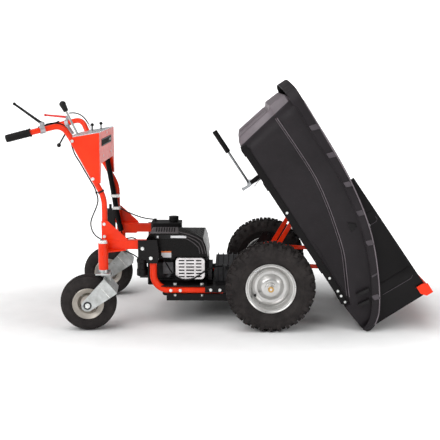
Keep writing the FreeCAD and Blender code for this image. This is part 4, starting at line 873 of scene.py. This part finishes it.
CASTER_DISH = [(0.0474, 0.0), (0.0474, 0.0050), (0.0420, 0.0070), (0.0380, 0.0140), (0.0340, 0.0200),
               (0.0200, 0.0215), (0.0190, 0.0680), (0.0090, 0.0680), (0.0090, 0.0), (0.0180, 0.0),
               (0.0300, 0.0), (0.0360, -0.0020), (0.0420, 0.0)]
FORK_LEAN = math.radians(40)
FORK_ALONG = Vector((math.cos(FORK_LEAN), 0, math.sin(FORK_LEAN)))
FORK_ACROSS = Vector((-math.sin(FORK_LEAN), 0, math.cos(FORK_LEAN)))
FORK_HALF = 0.075
RIM_BOLT_CIRCLE = 0.0428


def caster_wheel(side, centre, turn):
    """Ribbed tyre and a two-piece rim with four bolts on each face."""
    outline = both_sides(CASTER_HALF) + both_sides(CASTER_INNER)[::-1]
    tyre = lathe(side + "_caster_tread", outline, centre, ["tyre"])
    tyre.data.transform(turn)
    added(tyre, side + "_caster")
    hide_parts(side + "_caster_tyre")
    for across, tag in ((-1, "outer"), (1, "inner")):
        rim = lathe(side + "_caster_rim_" + tag, [(r, across * a) for r, a in CASTER_RIM_HALF], centre,
                    ["caster"])
        rim.data.transform(turn)
        added(rim, side + "_caster")
        disc = lathe(side + "_caster_dish_" + tag, [(r, across * a) for r, a in CASTER_DISH], centre,
                     ["caster"])
        disc.data.transform(turn)
        added(disc, side + "_caster")
        if across < 0:
            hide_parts(side + "_caster_rim")
        bolts = []
        for step in range(4):
            angle = math.pi / 4 + math.pi / 2 * step
            spot = centre + Vector((RIM_BOLT_CIRCLE * math.cos(angle), across * 0.0066,
                                    RIM_BOLT_CIRCLE * math.sin(angle)))
            bolts.append(hexagon(spot, (0, across, 0), 0.0042, 0.004))
        piece(side + "_caster_rim_bolts_" + tag, bolts, ["zinc"], side + "_caster", 0.0003,
              matrix=turn)


def caster_fork(side, centre, turn):
    """Plated fork with a washer at the axle and a painted highlight along the bend line on each leg."""
    skin(side + "_caster_fork", ["zinc", "bolt"], 0.0016,
         choose=lambda middle, size: 0 if size.z > 0.1 else 1)
    washer_ring = [(0.0115, 0.0), (0.0185, 0.0), (0.0185, 0.0012), (0.0115, 0.0014)]
    for across, tag in ((-1, "outer"), (1, "inner")):
        outward = Vector((0, across, 0))
        face = centre + outward * FORK_HALF
        # A bright strip along each leg's bend line: a painted highlight.
        bend_highlight = [face + FORK_ALONG * 0.098 + FORK_ACROSS * t for t in (-0.036, 0.0, 0.036)]
        washer = turned(side + "_fork_washer_" + tag, washer_ring, face, outward, ["cast"], 40)
        washer.data.transform(turn)
        added(washer, side + "_swivel")
        piece(side + "_fork_bend_" + tag, [ribbon(bend_highlight, outward, 0.0, 0.005, 0.0014)], ["bolt"],
              side + "_swivel", 0.0004, matrix=turn)


for side in ("right", "left"):
    low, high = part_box(side + "_caster_tyre")
    centre = (low + high) / 2
    turn = Matrix.Translation(centre) @ CASTER_TURN @ Matrix.Translation(-centre)
    caster_wheel(side, centre, turn)
    caster_fork(side, centre, turn)

# ---------------- tub

RIM_LINE = [(-96, 344), (134, 338), (388, 326), (612, 283), (795, 211), (950, 123), (1003, 62)]
SKIRT_LINE = [(-96, 298), (100, 291), (391, 284), (612, 240), (774, 179), (881, 122), (941, 80),
              (968, 45)]
LEDGE_LINE = [(-60, 200), (196, 206), (305, 202), (425, 183), (542, 156), (639, 128), (729, 87),
              (815, 46), (850, 33)]


def bed(u, y, v):
    """A point of the level bed, in millimetres, as it stands in the row frame at rest."""
    return BED @ (Vector((u, y, v)) / 1000)


def smooth_height(line, u):
    """Height of a line at u, on a Catmull-Rom curve through its points."""
    points = [line[0]] + list(line) + [line[-1]]
    for index in range(1, len(points) - 2):
        if points[index][0] <= u <= points[index + 1][0]:
            before, start, end, after = points[index - 1:index + 3]
            t = (u - start[0]) / (end[0] - start[0])
            rise_in = (end[1] - before[1]) / (end[0] - before[0]) * (end[0] - start[0])
            rise_out = (after[1] - start[1]) / (after[0] - start[0]) * (end[0] - start[0])
            return ((2 * t ** 3 - 3 * t ** 2 + 1) * start[1] + (t ** 3 - 2 * t ** 2 + t) * rise_in
                    + (3 * t ** 2 - 2 * t ** 3) * end[1] + (t ** 3 - t ** 2) * rise_out)
    return line[-1][1]


def skirt_half(u):
    """Half width of the rim's skirt, which draws in towards the front."""
    return 400.0 if u < 600 else 400.0 - 28.0 * (u - 600) / 383


def wall_half(v, above):
    """Half width of the side wall at a height, above or below the moulded ledge."""
    return 343 + 43 * v / 360 if above else 300 + 67 * v / 360


def wall_block(corners, sign, inner, outer):
    """A raised block on a side wall: corners are (u, v), between two half widths."""
    return bridge([bed(u, sign * inner, v) for u, v in corners],
                  [bed(u, sign * outer, v) for u, v in corners])


tub = skin("tub", ["tub"], 0.004, segments=3)
# The skirt's face is drawn in a little, so that its pads and beads stay inside the CAD's width.
SKIRT_FROM = 0.3705
SKIRT_SINK = 0.9905
for vertex in tub.data.vertices:
    if abs(vertex.co.y) > SKIRT_FROM:
        vertex.co.y *= SKIRT_SINK

SKIRT_PADS = (91, 231, 378, 515, 650, 880)
SKIRT_STEP = 790
for side, sign in (("right", -1), ("left", 1)):
    outward = Vector((0, sign, 0))
    rows = [-20 + 10 * step for step in range(102)]
    rim_bead = [bed(u, sign * (skirt_half(u) - 3.2), smooth_height(RIM_LINE, u) - 4) for u in rows]
    low_bead = [bed(u, sign * (skirt_half(u) - 3.6), smooth_height(SKIRT_LINE, u) + 3)
                for u in rows if u < 950]
    # The rim bead is painted pale, a painted highlight along the rim's top edge.
    piece(side + "_rim_bead", [ribbon(rim_bead, outward, 0.0, 0.0055, 0.0026)], ["tub_painted_sheen"], "bed",
          0.0006)
    piece(side + "_skirt_bead", [ribbon(low_bead, outward, 0.0, 0.006, 0.0022)], ["tub"], "bed",
          0.0006)
    # The skirt pads carry a painted highlight: lighter grey where the skirt's facets catch the light.
    pads = []
    for u in SKIRT_PADS:
        top = smooth_height(RIM_LINE, u) - 8
        foot = smooth_height(SKIRT_LINE, u) + 7
        half = skirt_half(u)
        pads.append(wall_block([(u - 15, foot), (u - 6, top), (u + 20, top), (u + 9, foot)], sign,
                               half - 7, half - 0.4))
    piece(side + "_skirt_pads", pads, ["tub_painted_highlight"], "bed", 0.0022, segments=3)
    # The step face carries a painted highlight in the same lighter grey.
    top = smooth_height(RIM_LINE, SKIRT_STEP)
    foot = smooth_height(SKIRT_LINE, SKIRT_STEP)
    half = skirt_half(SKIRT_STEP)
    step_face = [(SKIRT_STEP - 3, foot + 6), (SKIRT_STEP - 3, top - 7), (SKIRT_STEP + 4, top - 9),
                 (SKIRT_STEP + 4, foot + 5)]
    piece(side + "_skirt_step", [wall_block(step_face, sign, half - 8, half - 1.2)], ["tub_painted_highlight"],
          "bed", 0.001)
    # The ledge beads are painted pale: painted highlights along both edges of the ledge.
    ledge_rows = [-25 + 10 * step for step in range(86)]
    outer_bead = []
    inner_bead = []
    for u in ledge_rows:
        v = smooth_height(LEDGE_LINE, u)
        outer_bead.append(bed(u, sign * (wall_half(v, True) + 0.4), v + 3))
        inner_bead.append(bed(u, sign * (wall_half(v - 4, False) + 0.4), v - 4))
    piece(side + "_ledge_beads", [ribbon(outer_bead, outward, 0.0, 0.0034, 0.0016),
                                  ribbon(inner_bead, outward, 0.0, 0.0034, 0.0016)],
          ["tub_painted_sheen"], "bed", 0.0004)
    crease = [bed(u, sign * (wall_half(v, False) + 0.2), v)
              for u, v in ((540, 44), (595, 43), (650, 38), (708, 36), (770, 37), (806, 41))]
    piece(side + "_lower_crease", [ribbon(crease, outward, 0.0, 0.004, 0.0014)], ["tub"], "bed",
          0.0004)
    # The ribs under the rim are painted darker: painted shade under the rim's overhang.
    ribs = [wall_block([(822, 78), (829, 140), (843, 132), (836, 76)], sign, 345, 378),
            wall_block([(868, 60), (874, 116), (888, 106), (882, 58)], sign, 345, 375),
            wall_block([(528, 214), (548, 244), (566, 240), (572, 208)], sign, 360, 373)]
    piece(side + "_under_rim_ribs", ribs, ["tub_painted_shade"], "bed", 0.0025, segments=3)


REAR_PROFILE = ((6, -1, 0.0), (-16, 4, 0.0), (-36, 22, 0.1), (-62, 180, 0.7), (-68, 196, 0.8),
                (-84, 208, 0.9), (-90, 286, 1.0), (-70, 300, 1.0))
FIELD_HALF_FOOT = 238
FIELD_HALF_HEAD = 282
FIELD_BORDER = 28
FIELD_SUNK = 32


def rear_field():
    """The raised field on the rear wall, from foot to head, with its sides sunk into the wall."""
    verts = []
    for u, v, share in REAR_PROFILE:
        half = FIELD_HALF_FOOT + (FIELD_HALF_HEAD - FIELD_HALF_FOOT) * share
        flat = half - FIELD_BORDER
        sunk = FIELD_SUNK * (1 + share)
        for y, back in ((-half, sunk), (-flat, 0), (flat, 0), (half, sunk)):
            verts.append(bed(u + back, y, v))
    faces = []
    for row in range(len(REAR_PROFILE) - 1):
        for column in range(3):
            start = row * 4 + column
            faces.append((start, start + 1, start + 5, start + 4))
    return verts, faces


# The rear field is painted pale: a painted sheen where the rear wall faces the light.
piece("tub_rear_field", [rear_field()], ["tub_painted_sheen"], "bed", 0.004, segments=3)
RIB_SECTION = ((-18, 4), (-43, 24), (-68, 186), (-60, 186), (-30, 24), (-12, 8))
RIB_HALF = 11
rear_ribs = []
for y in (-205, -135, -65, 65, 135, 205):
    rear_ribs.append(bridge([bed(u, y - RIB_HALF, v) for u, v in RIB_SECTION],
                            [bed(u, y + RIB_HALF, v) for u, v in RIB_SECTION]))
# The rear ribs carry the same painted sheen as the rear field.
piece("tub_rear_ribs", rear_ribs, ["tub_painted_sheen"], "bed", 0.003, segments=3)

# ---------------- bed steel

skin("bed_rails", ["panel"], 0.001)
skin("bed_cross_bars", ["panel"], 0.001)
skin("hinge_frame", ["red"], 0.0014)
skin("tub_bolts", ["bolt"], 0.0006)
skin("front_gate", ["panel"], 0.001)
skin("gate_rail", ["red"], 0.0022)
PANEL_FACE = 336.5
for side, sign in (("right", -1), ("left", 1)):
    skin(side + "_side_panel", ["panel"], 0.0014)
    outward = Vector((0, sign, 0))
    outline = [(640, 262), (700, 246), (760, 226), (812, 200), (864, 176)]
    hem = [bed(u, sign * PANEL_FACE, v + 6) for u, v in outline]
    stake = [(901, 175), (905, 320), (896, 334), (872, 336), (864, 326), (861, 188)]
    pocket = [(549, 285), (550, 322), (556, 334), (592, 335), (600, 326), (600, 300)]
    lines = [hem]
    for loop in (stake, pocket):
        lines.append([bed(u, sign * PANEL_FACE, v) for u, v in loop])
    # The pressed lines on the black side panel are drawn in lighter grey, a painted highlight along their
    # edges.
    piece(side + "_panel_pressings", [ribbon(line, outward, 0.0, 0.0036, 0.0018) for line in lines],
          ["tub_painted_highlight"], "bed", 0.0005)
    bolts = [hexagon(bed(u, sign * PANEL_FACE, v), (0, sign, 0), 0.0042, 0.003)
             for u, v in ((600, 290), (612, 286))]
    piece(side + "_panel_bolts", bolts, ["zinc"], "bed", 0.0003)

# ---------------- latch

ROD_START = bed(-100, 185, -82)
ROD_END = bed(205, 185, -80)
ROD_WAY = (ROD_END - ROD_START).normalized()


def latch_face(centre):
    """The grip's faces are left out, for the ribbed grip stands for them."""
    along = (centre - ROD_START).dot(ROD_WAY)
    away = (centre - ROD_START - ROD_WAY * along).length
    return None if along < 0.124 and away > 0.0064 else 0


skin("latch_handle", ["rod"], 0.0006, paint=latch_face)
grip_outline = [(0.0061, -0.003), (0.0100, -0.004), (0.0128, -0.001)]
for step in range(11):
    along = 0.004 + 0.0105 * step
    grip_outline += [(0.0130, along), (0.0130, along + 0.0065), (0.0118, along + 0.0078),
                     (0.0118, along + 0.0092)]
grip_outline += [(0.0130, 0.120), (0.0110, 0.122), (0.0061, 0.122)]
added(turned("latch_grip", grip_outline, ROD_START, ROD_WAY, ["rubber"], 40), "latch")
SPRING_TURNS = 9
SPRING_STEPS = 14
SPRING_RADIUS = 0.0048
spring_points = []
spring_start = bed(214, 178, -10)
spring_end = bed(236, 178, -66)
spring_way = (spring_end - spring_start).normalized()
spring_side = spring_way.orthogonal().normalized()
spring_other = spring_way.cross(spring_side)
for step in range(SPRING_TURNS * SPRING_STEPS + 1):
    share = step / (SPRING_TURNS * SPRING_STEPS)
    angle = 2 * math.pi * step / SPRING_STEPS
    round_way = spring_side * math.cos(angle) + spring_other * math.sin(angle)
    spring_points.append(spring_start.lerp(spring_end, share) + round_way * SPRING_RADIUS)
spring = wire("latch_spring", spring_points, 0.0009, "steel")
added(spring, "bed")

# ---------------- levers

skin("brake_lever", ["plastic"], 0.001)
skin("clutch_lever", ["lamp_red"], 0.001)
skin("lock_lever", ["plastic"], 0.001)
KNOB_FOOT = at(-939, -120, 975.5)
skin("shift_lever", ["zinc", "plastic"], 0.0008,
     paint=lambda centre: 1 if centre.z > KNOB_FOOT.z - 0.006 else 0)
skin("throttle_key", ["plastic"], 0.0006)
skin("choke_key", ["plastic"], 0.0006)
